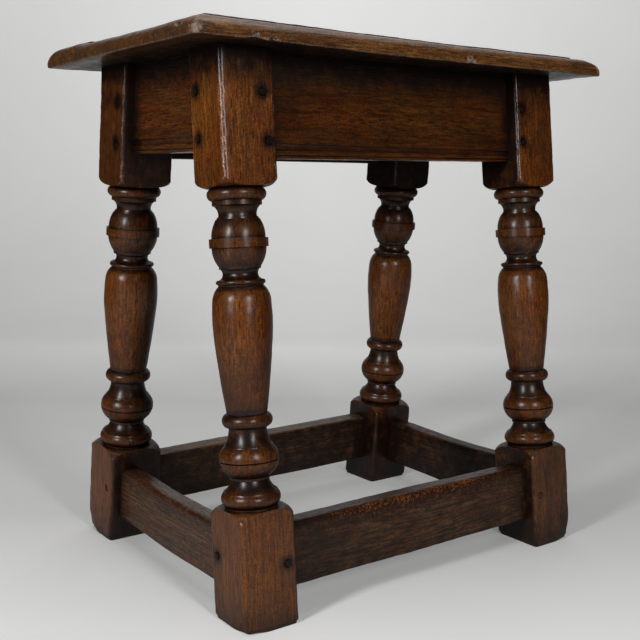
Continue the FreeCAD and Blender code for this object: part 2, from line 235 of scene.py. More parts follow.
def cut(piece, tool, operation="DIFFERENCE"):
    """Cuts a piece with a tool, or joins the two or keeps what they share, and throws the tool away."""
    take(piece)
    change = piece.modifiers.new("cut", "BOOLEAN")
    change.operation = operation
    change.solver = "EXACT"
    change.object = tool
    bpy.ops.object.modifier_apply(modifier=change.name)
    bpy.data.objects.remove(tool)


def copy_of(piece, name):
    """A copy with a mesh of its own."""
    twin = piece.copy()
    twin.data = piece.data.copy()
    twin.name = name
    bpy.context.collection.objects.link(twin)
    return twin


def wear(piece, depth, size, mid_level=0.6, group=""):
    """Makes a surface a little uneven, over bumps and hollows of about a size."""
    take(piece)
    texture = bpy.data.textures.new("uneven", "CLOUDS")
    texture.noise_scale = size
    texture.noise_depth = 2
    change = piece.modifiers.new("wear", "DISPLACE")
    change.texture = texture
    change.strength = depth
    change.mid_level = mid_level
    change.vertex_group = group
    bpy.ops.object.modifier_apply(modifier=change.name)


def saw(piece, point, normal):
    """Saws off what lies beyond a plane, and closes the cut."""
    take(piece)
    bpy.ops.object.mode_set(mode="EDIT")
    bpy.ops.mesh.select_all(action="SELECT")
    bpy.ops.mesh.bisect(plane_co=point, plane_no=normal, use_fill=True, clear_outer=True)
    bpy.ops.object.mode_set(mode="OBJECT")


def lay_grain(piece, layout, offset):
    """Stores where each point lay in its board or stick, whose third axis is the grain, as an attribute."""
    back = layout.inverted()
    timber = piece.data.attributes.new("timber", "FLOAT_VECTOR", "POINT")
    values = []
    for vertex in piece.data.vertices:
        values += list(back @ vertex.co + Vector(offset))
    timber.data.foreach_set("vector", values)


def mark(piece, name, worth):
    """Stores a value for each point of a piece, which its finish then reads."""
    values = [worth(vertex) for vertex in piece.data.vertices]
    piece.data.attributes.new(name, "FLOAT", "POINT").data.foreach_set("value", values)


def mark_relief(piece, share=lambda point: 1.0):
    """Stores how far each point stands proud of its neighbours, above 0, or lies sunk between them."""
    shape = bmesh.new()
    shape.from_mesh(piece.data)
    values = []
    for vertex in shape.verts:
        ways = [(edge.other_vert(vertex).co - vertex.co).normalized() for edge in vertex.link_edges]
        values.append(-sum(way.dot(vertex.normal) for way in ways) / max(1, len(ways)))
    shape.free()
    mark(piece, "proud", lambda vertex: min(values[vertex.index], 1) * share(vertex.co))


def held(value):
    """A value kept between 0 and 1."""
    return max(0.0, min(1.0, value))


# How far below the seat shade is painted, and how dark that painted shade is there and on the faces that look
# inwards
painted_shade_depth = 0.039
under_seat_shade = 1.1
inside_shade = 0.85
inside_margin = 0.01


def painted_shade_under_and_inside(vertex):
    """How much painted shade a point gets: close under the seat, or on a face that looks inwards."""
    point = vertex.co
    facing = vertex.normal
    under_seat = held(1 - (frame_height - point.z) / painted_shade_depth)
    inside = max(-facing.x * math.copysign(1, point.x) if abs(point.x) > inner_face - inside_margin else 0,
                 -facing.y * math.copysign(1, point.y) if abs(point.y) > leg_side else 0)
    return max(under_seat_shade * under_seat, inside_shade * held(1.2 * inside))


# Edges sharper than this many degrees are left unsmoothed
sharp_edge = 38


def smooth(piece, degrees):
    """Smooth shading, but for the edges sharper than an angle."""
    take(piece)
    bpy.ops.object.shade_smooth_by_angle(angle=math.radians(degrees))


def turned_stick():
    """The stick with its turning, standing about its axis, before anything is bored or sawn."""
    corner = leg_side / math.sqrt(2)
    reach = corner + turning_overrun
    turned_top = leg_length - upper_block
    slope = math.sqrt(1 / 2)

    def turned(height_share, radius_share):
        return Vector((radius_share * half_leg, lower_block + height_share * turned_height))

    def shoulder(neck, block_end, rise):
        return Vector((neck + (corner - neck) * slope, block_end + rise * (1 - slope)))

    lower_neck = lower_neck_share * half_leg
    upper_neck = upper_neck_share * half_leg
    lower_arris = Vector((corner, lower_block - lower_shoulder_drop))
    upper_arris = Vector((corner, turned_top + upper_shoulder_rise))
    turning_head = leg_length + turning_overrun
    points = [Vector((0, -turning_overrun)), Vector((reach, -turning_overrun)),
              Vector((reach, lower_arris.y)), lower_arris]
    points += round_stretch(lower_arris, shoulder(lower_neck, lower_block, -lower_shoulder_drop),
                            Vector((lower_neck, lower_block)), shoulder_step)
    points += outline(points.pop(), turning_shares, turned, turning_step)
    points.append(Vector((upper_neck, turned_top)))
    points += round_stretch(points[-1], shoulder(upper_neck, turned_top, upper_shoulder_rise),
                            upper_arris, shoulder_step)
    points += [Vector((reach, upper_arris.y)), Vector((reach, turning_head)), Vector((0, turning_head))]
    turning = drawn_line("turning", [Vector((p.x, 0, p.y)) for p in points])
    bpy.ops.object.mode_set(mode="EDIT")
    bpy.ops.mesh.select_all(action="SELECT")
    bpy.ops.mesh.spin(steps=lathe_steps, angle=2 * math.pi, center=(0, 0, 0), axis=(0, 0, 1))
    bpy.ops.mesh.select_all(action="SELECT")
    bpy.ops.mesh.remove_doubles(threshold=0.000001)
    bpy.ops.mesh.normals_make_consistent(inside=False)
    bpy.ops.object.mode_set(mode="OBJECT")

    stick = bar("stick", (-half_leg, -half_leg, -stick_overrun),
                (half_leg, half_leg, leg_length + stick_overrun))
    round_arrises(stick, 2, leg_arris)
    divide(stick, 2, stick_step)
    divide(stick, 0, face_step)
    divide(stick, 1, face_step)
    cut(stick, turning, "INTERSECT")
    return stick


# The pegs' places, bored by eye, and the bores for them: how far in from the shoulder of the joint each
# one stands, and how high. They are about the same at the back as at the front. The rails and stretchers
# that they hold give some of the heights.
peg_width = 0.0064
peg_bore_gap = 0.00035
bore_sides = 14
left_upper_inset = 0.0126
left_upper_drop = 0.0390
left_lower_inset = 0.0089
left_lower_rise = 0.0135
right_upper_inset = 0.0076
right_upper_drop = 0.0385
right_lower_inset = 0.0072
right_lower_rise = 0.0212
end_upper_inset = 0.0117
end_upper_drop = 0.0348
end_lower_inset = 0.0126
end_lower_rise = 0.0095
long_rail_height = 0.092
end_rail_height = 0.0845
long_stretcher_height = 0.0535
long_stretcher_rise = 0.025
end_stretcher_height = 0.050
end_stretcher_rise = 0.0233
long_stretcher_inset = 0.0097
long_stretcher_peg_lift = -0.0029
long_stretcher_peg_height = long_stretcher_rise + long_stretcher_height / 2 + long_stretcher_peg_lift
end_stretcher_inset = 0.0106
end_stretcher_peg_lift = 0.0054
end_stretcher_peg_level = end_stretcher_rise + end_stretcher_height / 2 + end_stretcher_peg_lift
long_peg_depth = 0.036
end_peg_depth = 0.034


def along_leg(inset, level):
    """The height along a front leg of a peg in its outer face, from its height above the floor."""
    return (level + (half_leg - inset) * math.sin(rake)) / math.cos(rake)


def peg_places(side):
    """The pegs of one leg, laid out as on the left: a name's form, the head's middle, and the face."""
    if side == "left":
        upper = (left_upper_inset, left_upper_drop)
        lower = (left_lower_inset, left_lower_rise)
    else:
        upper = (right_upper_inset, right_upper_drop)
        lower = (right_lower_inset, right_lower_rise)
    rail_foot = leg_length - long_rail_height
    end_rail_foot = frame_height - end_rail_height
    long_places = [("long_rail_{end}_{side}_upper", upper[0], leg_length - upper[1]),
                   ("long_rail_{end}_{side}_lower", lower[0], rail_foot + lower[1]),
                   ("long_stretcher_{end}_{side}", long_stretcher_inset, long_stretcher_peg_height)]
    end_places = [("end_rail_{side}_{end}_upper", end_upper_inset, leg_length - end_upper_drop),
                  ("end_rail_{side}_{end}_lower", end_lower_inset,
                   along_leg(end_lower_inset, end_rail_foot + end_lower_rise)),
                  ("end_stretcher_{side}_{end}", end_stretcher_inset,
                   along_leg(end_stretcher_inset, end_stretcher_peg_level))]
    places = [(name, Vector((half_leg - inset, -half_leg, height)), "front")
              for name, inset, height in long_places]
    places += [(name, Vector((-half_leg, half_leg - inset, height)), "outer")
               for name, inset, height in end_places]
    return places


# Turns a peg that stands on its head's middle so that it runs into the leg's front or outer face.
into = {"front": Matrix.Rotation(-math.pi / 2, 4, "X"), "outer": Matrix.Rotation(math.pi / 2, 4, "Y")}


def bore(middle, face):
    """A bore's tool, running out of the face a little, for one leg in its upright layout."""
    depth = long_peg_depth if face == "front" else end_peg_depth
    start_alone()
    bpy.ops.mesh.primitive_cylinder_add(vertices=bore_sides, radius=peg_width / 2 + peg_bore_gap,
                                        depth=2 * depth)
    return place(bpy.context.object, Matrix.Translation(middle) @ into[face])


# The wear of the feet: the heights at which rings are cut, how far the sawn edge is drawn in and over what
# reach, and for the outermost corner the grip, the way inwards, the lift and the reach of its wear
foot_rings = (0.0006, 0.0013, 0.0022, 0.0034, 0.0048, 0.0064, 0.0082, 0.0102)
on_floor = 0.00001
foot_edge_share = 0.95
foot_edge_reach = 0.0026
corner_wear = (0.003, 0.0022, 0.0012, 0.020)
corner_rounding_grip = 0.004
corner_rounding_reach = 0.012
corner_rounding_share = 0.3


def round_foot(leg, roundness):
    """Wears the foot's edge, and more of its outermost corner: rings of edges are cut and drawn in."""
    take(leg)
    bpy.ops.object.mode_set(mode="EDIT")
    for height in foot_rings:
        bpy.ops.mesh.select_all(action="SELECT")
        bpy.ops.mesh.bisect(plane_co=(0, 0, height), plane_no=(0, 0, 1))
    choose(leg, "verts", lambda vertex: vertex.co.z < on_floor)
    bpy.ops.transform.resize(value=(foot_edge_share, foot_edge_share, 1), use_proportional_edit=True,
                             proportional_edit_falloff="SPHERE", proportional_size=foot_edge_reach)
    foot = [vertex.co for vertex in leg.data.vertices if vertex.co.z < on_floor]
    tip = max(foot, key=lambda point: abs(point.x) + abs(point.y)).copy()
    rounding = (corner_rounding_grip, corner_rounding_share * roundness, roundness, corner_rounding_reach)
    for falloff, (grip, inwards, lift, reach) in (("SMOOTH", corner_wear), ("SPHERE", rounding)):
        choose(leg, "verts", lambda vertex: (vertex.co - tip).length < grip)
        shift = (-math.copysign(inwards, tip.x), -math.copysign(inwards, tip.y), lift)
        bpy.ops.transform.translate(value=shift, use_proportional_edit=True,
                                    proportional_edit_falloff=falloff, proportional_size=reach)
    bpy.ops.object.mode_set(mode="OBJECT")


def gather_arrises(leg):
    """Gathers a leg's four long arrises in a vertex group, while it stands upright about its axis."""
    group = leg.vertex_groups.new(name="arrises")
    inner = half_leg - 1.05 * leg_arris
    chosen = [v.index for v in leg.data.vertices if min(abs(v.co.x), abs(v.co.y)) > inner]
    group.add(chosen, 1, "REPLACE")


# How far the stain round a peg reaches, how much the arrises' wear and painted highlight count on the faces
# between them and on the lower block, and how much darker the turning is made: on its fullest parts, on the
# open vase, what the slimmest coves add as painted shade and dirt, how slim those are, and between which
# shares of the turned height the vase lies
stain_reach = 0.0065
face_wear_and_highlight = 0.09
lower_arris_wear_and_highlight = 0.085
turning_darkening = 0.42
vase_darkening = 0.06
cove_dirt_and_shade = 0.50
cove_slimness = 0.35
vase_shares = (0.31, 0.68)


def divide_near(leg, places):
    """Divides a leg's faces around its pegs, so that their stains are drawn finely enough."""
    take(leg)
    bpy.ops.object.mode_set(mode="EDIT")
    choose(leg, "faces", lambda face: min((face.calc_center_median() - middle).length
                                          for name, middle, face_name in places) < stain_reach + peg_width)
    bpy.ops.mesh.quads_convert_to_tris()
    bpy.ops.mesh.subdivide(number_cuts=2)
    bpy.ops.object.mode_set(mode="OBJECT")


def mark_leg(leg, layout, places, dirt_and_shade):
    """Marks a leg's worn arrises, the stains round its pegs, and the darkening of its blocks and turning,
    partly dirt and partly painted shade.
    """
    back = layout.inverted()
    upper_dirt_and_shade, lower_dirt_and_shade, unstained = dirt_and_shade

    def on_arris(point):
        place = back @ point
        if min(abs(place.x), abs(place.y)) < half_leg - 1.4 * leg_arris:
            return face_wear_and_highlight
        return 1.0 if place.z > lower_block else lower_arris_wear_and_highlight

    def stain(vertex):
        place = back @ vertex.co
        if place.z < lower_block and unstained:
            return 0.0
        nearest = min((place - middle).length for name, middle, face in places)
        return held(1 - (nearest - peg_width / 2) / stain_reach)

    # Darkening as dirt and painted shade: on the blocks their own share, or the painted shade under the seat
    # and inside; on the turning its share, with painted shade and dirt in the slim coves
    def grime_and_shade(vertex):
        place = back @ vertex.co
        share = (place.z - lower_block) / turned_height
        if not 0 < share < 1:
            return max(upper_dirt_and_shade if share > 1 else lower_dirt_and_shade, painted_shade_under_and_inside(vertex))
        slimness = held((1 - math.hypot(place.x, place.y) / half_leg) / cove_slimness)
        if vase_shares[0] < share < vase_shares[1]:
            return vase_darkening + cove_dirt_and_shade * slimness
        return turning_darkening + cove_dirt_and_shade * slimness

    mark_relief(leg, on_arris)
    mark(leg, "stain", stain)
    mark(leg, "grime_and_shade", grime_and_shade)


def leg_layout(mirror):
    """Takes a leg, or what lies on it, from standing upright about its axis to its corner of the stool."""
    return mirror @ lean @ Matrix.Translation((-leg_centre, 0, 0))


# Each leg: how it is mirrored, where its stick lay in the timber, how full it was turned, how much darker its
# upper and its lower block are made, as painted shade and dirt, and whether the lower one's pegs left no
# stain, and how round its foot has worn.
# The wear is how deep and how wide its unevenness is, and its middle level: along the arrises, over the
# faces, and as a slow bow.
stick = turned_stick()
arris_wear = (0.0008, 0.004, 0.62, "arrises")
leg_wear = (0.0005, 0.012)
leg_bow = (0.0006, 0.060, 0.5)
corners = {
    "front_left": (as_laid, (0.11, 0.02, 0.3), 0.985, (0.06, 0.06, False), 0.0),
    "front_right": (to_right, (0.31, 0.47, 1.1), 1.005, (0.05, 0.45, True), 0.0042),
    "back_left": (to_back, (0.72, 0.23, 2.3), 1.035, (0.52, 0.13, True), 0.0015),
    "back_right": (to_back @ to_right, (0.55, 0.81, 3.9), 1.025, (0.85, 0.30, False), 0.0005),
}
legs = {}
for corner, (mirror, offset, fullness, dirt_and_shade, roundness) in corners.items():
    leg = take(copy_of(stick, "oak_leg_" + corner))
    leg.scale = (fullness, fullness, 1)
    bpy.ops.object.transform_apply(location=True, rotation=True, scale=True)
    places = peg_places(corner.split("_")[1])
    for name, middle, face in places:
        cut(leg, bore(middle, face))
    divide_near(leg, places)
    gather_arrises(leg)
    layout = leg_layout(mirror)
    place(leg, layout)
    wear(leg, *arris_wear)
    wear(leg, *leg_wear)
    wear(leg, *leg_bow)
    saw(leg, (0, 0, frame_height), (0, 0, 1))
    saw(leg, (0, 0, 0), (0, 0, -1))
    round_foot(leg, roundness)
    lay_grain(leg, layout, offset)
    mark_leg(leg, layout, places, dirt_and_shade)
    smooth(leg, sharp_edge)
    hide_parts("leg_" + corner)
    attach(leg, "root")
    legs[corner] = leg
bpy.data.objects.remove(stick)


# The oak, under centuries of wax and hands. Growth rings, pores and fibres follow the grain of each stick,
# dirt and painted shade darken the corners, and the arrises are polished bare by wear and lightened by a
# painted highlight.
def add_node(tree, kind, inputs=None, **settings):
    """A shader node with its settings, its inputs given values or linked to other nodes' outputs."""
    new = tree.nodes.new(kind)
    for name, value in settings.items():
        setattr(new, name, value)
    for name, value in (inputs or {}).items():
        socket = new.inputs[name]
        if isinstance(value, bpy.types.NodeSocket):
            tree.links.new(value, socket)
        else:
            socket.default_value = value
    return new


def maths(tree, operation, first, second=0.0, third=0.0):
    """The output of a Math node."""
    new = add_node(tree, "ShaderNodeMath", {0: first, 1: second, 2: third}, operation=operation)
    return new.outputs[0]


def vectors(tree, operation, first, second=(0, 0, 0), third=(0, 0, 0)):
    """The output of a Vector Math node, which for a length or a dot product is a number."""
    new = add_node(tree, "ShaderNodeVectorMath", {0: first, 1: second, 2: third}, operation=operation)
    return new.outputs["Value" if operation in ("LENGTH", "DOT_PRODUCT") else "Vector"]


def rescaled(tree, value, low, high, to_low=0.0, to_high=1.0):
    """A value's range mapped to another one, and kept within it."""
    new = add_node(tree, "ShaderNodeMapRange", {"Value": value, "From Min": low, "From Max": high,
                                                "To Min": to_low, "To Max": to_high})
    return new.outputs["Result"]


def noise(tree, vector, scale, detail=2.0, roughness=0.5):
    """The output of a Noise Texture node, between 0 and 1."""
    new = add_node(tree, "ShaderNodeTexNoise", {"Vector": vector, "Scale": scale, "Detail": detail,
                                                "Roughness": roughness})
    return new.outputs["Fac"]


def mixed(tree, share, first, second, blend="MIX"):
    """Two colours mixed, as the output of a Mix node."""
    new = add_node(tree, "ShaderNodeMix", data_type="RGBA", blend_type=blend)
    for number, value in ((0, share), (6, first), (7, second)):
        if isinstance(value, bpy.types.NodeSocket):
            tree.links.new(value, new.inputs[number])
        else:
            new.inputs[number].default_value = value
    return new.outputs[2]


def grey(tree, value):
    """A grey as bright as a value."""
    new = add_node(tree, "ShaderNodeCombineXYZ", {0: value, 1: value, 2: value})
    return new.outputs[0]


def new_group(name, inputs, outputs):
    """A node group with its sockets: the tree, its inputs by name, and its output node."""
    tree = bpy.data.node_groups.new(name, "ShaderNodeTree")
    for label, kind in inputs:
        tree.interface.new_socket(label, in_out="INPUT", socket_type="NodeSocket" + kind)
    for label, kind in outputs:
        tree.interface.new_socket(label, in_out="OUTPUT", socket_type="NodeSocket" + kind)
    return tree, tree.nodes.new("NodeGroupInput").outputs, tree.nodes.new("NodeGroupOutput")


# What the reddest wood's tone is multiplied by, where the pith lies beside the stick, and how far the grain
# strays from straight
reddening = (1.20, 0.62, 0.42, 1)
to_pith = (0.043, 0.061, 0)
straying = (0.018, 0.018, 0)


def oak_figure_group():
    """Oak's own pattern from timber coordinates: rings, fibres, flecks, pores, and slow stains."""
    tree, given, result = new_group(
        "oak_figure",
        [("Timber", "Vector"), ("Dark", "Color"), ("Body", "Color"), ("Light", "Color"),
         ("Streaks", "Float"), ("Blotches", "Float"), ("Redness", "Float")],
        [("Color", "Color"), ("Height", "Float"), ("Dullness", "Float")])
    timber = given["Timber"]

    # The grain strays a little from straight, and growth rings lie about a pith beside the stick
    slow = vectors(tree, "MULTIPLY", timber, (1, 1, 0.13))
    wander = add_node(tree, "ShaderNodeTexNoise", {"Vector": slow, "Scale": 17.0, "Detail": 2.0})
    strayed = vectors(tree, "MULTIPLY_ADD", wander.outputs["Color"], straying, timber)
    across = vectors(tree, "MULTIPLY", strayed, (1, 1, 0))
    distance = vectors(tree, "LENGTH", vectors(tree, "ADD", across, to_pith))
    rings = add_node(tree, "ShaderNodeTexNoise", {"W": distance, "Scale": 330.0, "Detail": 2.0,
                                                  "Roughness": 0.6}, noise_dimensions="1D")
    ring = rescaled(tree, rings.outputs["Fac"], 0.36, 0.64)

    # Fibres and flecks are drawn out along the grain, and pores are short cells, denser in the early wood
    fibre = rescaled(tree, noise(tree, vectors(tree, "MULTIPLY", strayed, (1, 1, 0.075)), 470.0, 3.0, 0.75),
                     0.42, 0.58)
    fleck = rescaled(tree, noise(tree, vectors(tree, "MULTIPLY", strayed, (1, 1, 0.15)), 600.0, 2.0, 0.6),
                     0.54, 0.63)
    cells = vectors(tree, "MULTIPLY", strayed, (430, 430, 75))
    pore_cells = add_node(tree, "ShaderNodeTexVoronoi", {"Vector": cells, "Scale": 1.0})
    pore = rescaled(tree, pore_cells.outputs["Distance"], 0.20, 0.42, 1.0, 0.0)
    pore = maths(tree, "MULTIPLY", pore, rescaled(tree, rings.outputs["Fac"], 0.40, 0.62, 0.25, 1.0))

    # Slow changes of tone: lighter blotches, redder ones, dark stains, and fine specks all over
    blotch = rescaled(tree, noise(tree, vectors(tree, "MULTIPLY", timber, (1, 1, 0.45)), 26.0, 5.0, 0.66),
                      0.36, 0.64)
    red = rescaled(tree, noise(tree, vectors(tree, "MULTIPLY", timber, (1, 1, 0.6)), 41.0, 4.0, 0.7),
                   0.44, 0.66)
    speckle = rescaled(tree, noise(tree, timber, 560.0, 3.0, 0.8), 0.36, 0.64, 0.56, 1.44)
    deep = rescaled(tree, noise(tree, vectors(tree, "MULTIPLY_ADD", timber, (1, 1, 0.5), (3.1, 1.7, 0.4)),
                                15.0, 5.0, 0.66), 0.50, 0.72)

    streak = maths(tree, "MULTIPLY_ADD", ring, 0.35, maths(tree, "MULTIPLY", fibre, 0.65))
    colour = mixed(tree, maths(tree, "MULTIPLY", blotch, given["Blotches"]), given["Body"], given["Light"])
    colour = mixed(tree, maths(tree, "MULTIPLY", red, given["Redness"]), colour, reddening, "MULTIPLY")
    colour = mixed(tree, maths(tree, "MULTIPLY", fleck, 0.32), colour, given["Light"])
    shade = maths(tree, "MULTIPLY", maths(tree, "SUBTRACT", 1.0, streak), given["Streaks"])
    colour = mixed(tree, shade, colour, given["Dark"])
    colour = mixed(tree, maths(tree, "MULTIPLY", pore, 0.85), colour, given["Dark"])
    colour = mixed(tree, maths(tree, "MULTIPLY", deep, 0.7), colour, given["Dark"])
    colour = mixed(tree, 1.0, colour, grey(tree, speckle), "MULTIPLY")
    height = maths(tree, "SUBTRACT", maths(tree, "MULTIPLY", streak, 0.7), pore)
    dull = maths(tree, "MAXIMUM", pore, maths(tree, "MULTIPLY", shade, 0.5))
    tree.links.new(colour, result.inputs["Color"])
    tree.links.new(height, result.inputs["Height"])
    tree.links.new(dull, result.inputs["Dullness"])
    return tree


def age_and_shade_group():
    """What time does to a surface, with painted shade and highlight: darkening where it is sunk or hidden,
    which is dirt and painted shade, and wear where it stands proud, which is bare wood and a painted
    highlight.
    """
    tree, given, result = new_group(
        "age_and_shade", [("Timber", "Vector"), ("Reach", "Float"), ("Proud", "Float"), ("Stain", "Float"),
                ("Grime_and_shade", "Float")],
        [("Dirt_and_shade", "Float"), ("Worn_and_highlight", "Float")])
    # Ambient occlusion darkens what is hidden, as painted shade in corners and between parts, and patchy
    # noise adds dirt
    open_sky = add_node(tree, "ShaderNodeAmbientOcclusion", {"Distance": given["Reach"]}, samples=4)
    patchy = noise(tree, given["Timber"], 90.0, 4.0, 0.65)
    hidden = maths(tree, "SUBTRACT", 1.0, open_sky.outputs["AO"])
    dirt_and_shade = rescaled(tree, maths(tree, "MULTIPLY_ADD", patchy, 0.4, hidden), 0.34, 0.78)
    # What lies sunk between its neighbours is darkened too, as painted shade in the coves along with dirt
    sunk = rescaled(tree, given["Proud"], -0.03, -0.20)
    dirt_and_shade = maths(tree, "MULTIPLY_ADD", sunk, 0.8, dirt_and_shade)
    ragged = rescaled(tree, noise(tree, given["Timber"], 420.0, 3.0, 0.7), 0.3, 0.7, 0.5, 1.5)
    dirt_and_shade = maths(tree, "MULTIPLY_ADD", given["Stain"], ragged, dirt_and_shade)
    dirt_and_shade = maths(tree, "MULTIPLY_ADD", given["Grime_and_shade"], rescaled(tree, patchy, 0.3, 0.7, 0.6, 1.3), dirt_and_shade)
    # Open, proud edges get a mottled mask for the bare tone, which is worn wood and a painted highlight
    mottle = rescaled(tree, noise(tree, given["Timber"], 520.0, 3.0, 0.75), 0.42, 0.60)
    proud = maths(tree, "MULTIPLY", rescaled(tree, given["Proud"], 0.070, 0.14),
                  rescaled(tree, open_sky.outputs["AO"], 0.55, 0.85))
    worn_and_highlight = maths(tree, "MULTIPLY", proud, mottle)
    tree.links.new(rescaled(tree, dirt_and_shade, 0, 1), result.inputs["Dirt_and_shade"])
    tree.links.new(worn_and_highlight, result.inputs["Worn_and_highlight"])
    return tree


oak_figure = oak_figure_group()
age_and_shade = age_and_shade_group()

# What all the oak has alike: the dark of its dirt and painted shade, its dust, how far from corners the
# painted shade and dirt reach, how blotched it is, the heights between which dust thins out, the pitch of the
# saw's marks, and how deep the grain is
dirt_and_shade_colour = (0.0042, 0.0017, 0.0011, 1)
dust = (0.150, 0.095, 0.062, 1)
dirt_and_shade_reach = 0.05
blotchiness = 0.6
dusty_below = 0.075
dust_free_above = 0.125
saw_mark = 0.0022
grain_depth = 0.0006


# The bare tone, pale by default, is worn wood with a painted highlight on the arrises
def oak(name, dark, body, light, streaks=0.75, relief=0.7, roughness=0.24, bare_and_highlight=(0.60, 0.45, 0.38, 1),
        bareness_and_highlight=0.6, dustiness=0.12, redness=0.35, polish=1.0, sheen=0.11, wax=0.18, wax_index=1.5,
        wax_roughness=0.26, rubbed_tones=None):
    """A waxed oak finish: the figure in three tones, dirt and painted shade, worn edges with a painted
    highlight, a polish that the pores break up.
    """
    material = bpy.data.materials.new(name)
    material.use_nodes = True
    tree = material.node_tree
    surface = tree.nodes["Principled BSDF"]

    def marked(label):
        return add_node(tree, "ShaderNodeAttribute", attribute_name=label).outputs["Fac"]

    # The figure, and the ageing with its painted shade and highlight, from where each point lay in the timber
    # and what it is marked with
    timber = add_node(tree, "ShaderNodeAttribute", attribute_name="timber").outputs["Vector"]
    rubbed = marked("rubbed")
    sawn = marked("sawn")
    figure = add_node(tree, "ShaderNodeGroup", {"Timber": timber, "Dark": dark, "Body": body, "Light": light,
                                                "Streaks": streaks, "Blotches": blotchiness,
                                                "Redness": redness}, node_tree=oak_figure)
    ageing_and_shading = add_node(tree, "ShaderNodeGroup", {"Timber": timber, "Proud": marked("proud"),
                                                "Stain": marked("stain"), "Grime_and_shade": marked("grime_and_shade"),
                                                "Reach": dirt_and_shade_reach}, node_tree=age_and_shade)

    # Where feet rub, the wax is gone in ragged patches, which may be specked with two tones of their own
    ragged = rescaled(tree, noise(tree, timber, 300.0, 5.0, 0.85), 0.3, 0.7, -0.6, 0.6)
    ragged = maths(tree, "MULTIPLY", rescaled(tree, maths(tree, "ADD", rubbed, ragged), 0.42, 0.60),
                   rescaled(tree, rubbed, 0.02, 0.25))
    if rubbed_tones:
        speck = noise(tree, timber, 520.0, 2.0, 0.7)
        speck = rescaled(tree, maths(tree, "MULTIPLY_ADD", rubbed, 0.30, speck), 0.80, 0.89)
        rubbed_colour = mixed(tree, speck, *rubbed_tones)
    else:
        rubbed_colour = bare_and_highlight

    # The saw's marks cross a sawn face, and dirt lies in some of them
    along = add_node(tree, "ShaderNodeSeparateXYZ", {0: timber}).outputs["Z"]
    ribs = maths(tree, "SINE", maths(tree, "MULTIPLY", along, 2 * math.pi / saw_mark))
    ribs = maths(tree, "MULTIPLY", ribs, sawn)
    grooves = maths(tree, "MULTIPLY", rescaled(tree, ribs, -0.1, -0.9),
                    rescaled(tree, noise(tree, timber, 120.0, 3.0, 0.7), 0.35, 0.60, 0.0, 0.65))

    # Dust from the floor lies on what stands low
    point = add_node(tree, "ShaderNodeTexCoord").outputs["Object"]
    level = add_node(tree, "ShaderNodeSeparateXYZ", {0: point}).outputs["Z"]
    dusty = rescaled(tree, noise(tree, timber, 60.0, 4.0, 0.7), 0.35, 0.65, 0.4, 1.0)
    low = rescaled(tree, level, dust_free_above, dusty_below, 0.0, dustiness)
    dusty = maths(tree, "MULTIPLY", dusty, low)

    # The colour from the wood up: dust, bare wood on the arrises, lightened further as a painted highlight,
    # and where feet rub, and the dirt and painted shade on top
    colour = mixed(tree, dusty, figure.outputs["Color"], dust)
    colour = mixed(tree, maths(tree, "MULTIPLY", ageing_and_shading.outputs["Worn_and_highlight"], bareness_and_highlight), colour, bare_and_highlight)
    colour = mixed(tree, maths(tree, "MULTIPLY", ragged, bareness_and_highlight), colour, rubbed_colour)
    # Dirt and painted shade darken the colour towards near black
    darkened = maths(tree, "MAXIMUM", maths(tree, "MULTIPLY", ageing_and_shading.outputs["Dirt_and_shade"], 0.96), grooves)
    colour = mixed(tree, darkened, colour, dirt_and_shade_colour)
    tree.links.new(colour, surface.inputs["Base Color"])

    # The polish: pores and dirt dull it, and the grain and the saw's marks stand in relief under the wax
    rough = maths(tree, "MULTIPLY_ADD", figure.outputs["Dullness"], 0.22, roughness)
    rough = maths(tree, "MULTIPLY_ADD", ageing_and_shading.outputs["Dirt_and_shade"], 0.25, rough)
    tree.links.new(rough, surface.inputs["Roughness"])
    relief_height = maths(tree, "MULTIPLY_ADD", ribs, 1.1, figure.outputs["Height"])
    relief_node = add_node(tree, "ShaderNodeBump", {"Strength": relief, "Distance": grain_depth,
                                                    "Height": relief_height})
    tree.links.new(relief_node.outputs["Normal"], surface.inputs["Normal"])
    surface.inputs["Specular IOR Level"].default_value = sheen * polish
    surface.inputs["Coat Weight"].default_value = wax * polish
    surface.inputs["Coat IOR"].default_value = wax_index
    surface.inputs["Coat Roughness"].default_value = wax_roughness
    return material


turned_oak = oak("turned_oak", dark=(0.018, 0.006, 0.002, 1), body=(0.116, 0.032, 0.004, 1),
                 light=(0.232, 0.079, 0.011, 1), streaks=0.66, bareness_and_highlight=0.95, redness=0.5, sheen=0.02,
                 wax=0.19, wax_index=1.9, wax_roughness=0.29)
for leg in legs.values():
    leg.data.materials.clear()
    leg.data.materials.append(turned_oak)


# The stretchers. Four riven bars, just above the floor, tie the lower blocks. Feet have worn their upper
# arrises round and hollowed the tops. They are tenoned and pegged into the legs, and each is shown between
# its shoulders, because the tenons are hidden in the blocks.
long_stretcher_thickness = 0.022
long_stretcher_setback = 0.0103
end_stretcher_thickness = 0.020
end_stretcher_setback = 0.0093

# How their edges are worn: rounder on the outer side of the long and of the end ones, less on the inner one.
# An edge is on a face if its middle is near it, and on the inner side if it is that far in from the outer.
long_outer_arris = 0.0045
long_inner_arris = 0.0028
end_outer_arris = 0.0052
end_inner_arris = 0.0030
lower_arris = 0.0012
bar_step = 0.004
near = 0.001
inner_side = 0.01
stretcher_wear = (0.0006, 0.010)
stretcher_bow = (0.0014, 0.080, 0.55)
back_taper_share = 0.96

# The hollow in the end ones' tops: how far in from the outer face and how far along it lies, and its size
hollow_inset = 0.006
hollow_place = -0.01
hollow_reach = 0.085
hollow_depth = 0.0022

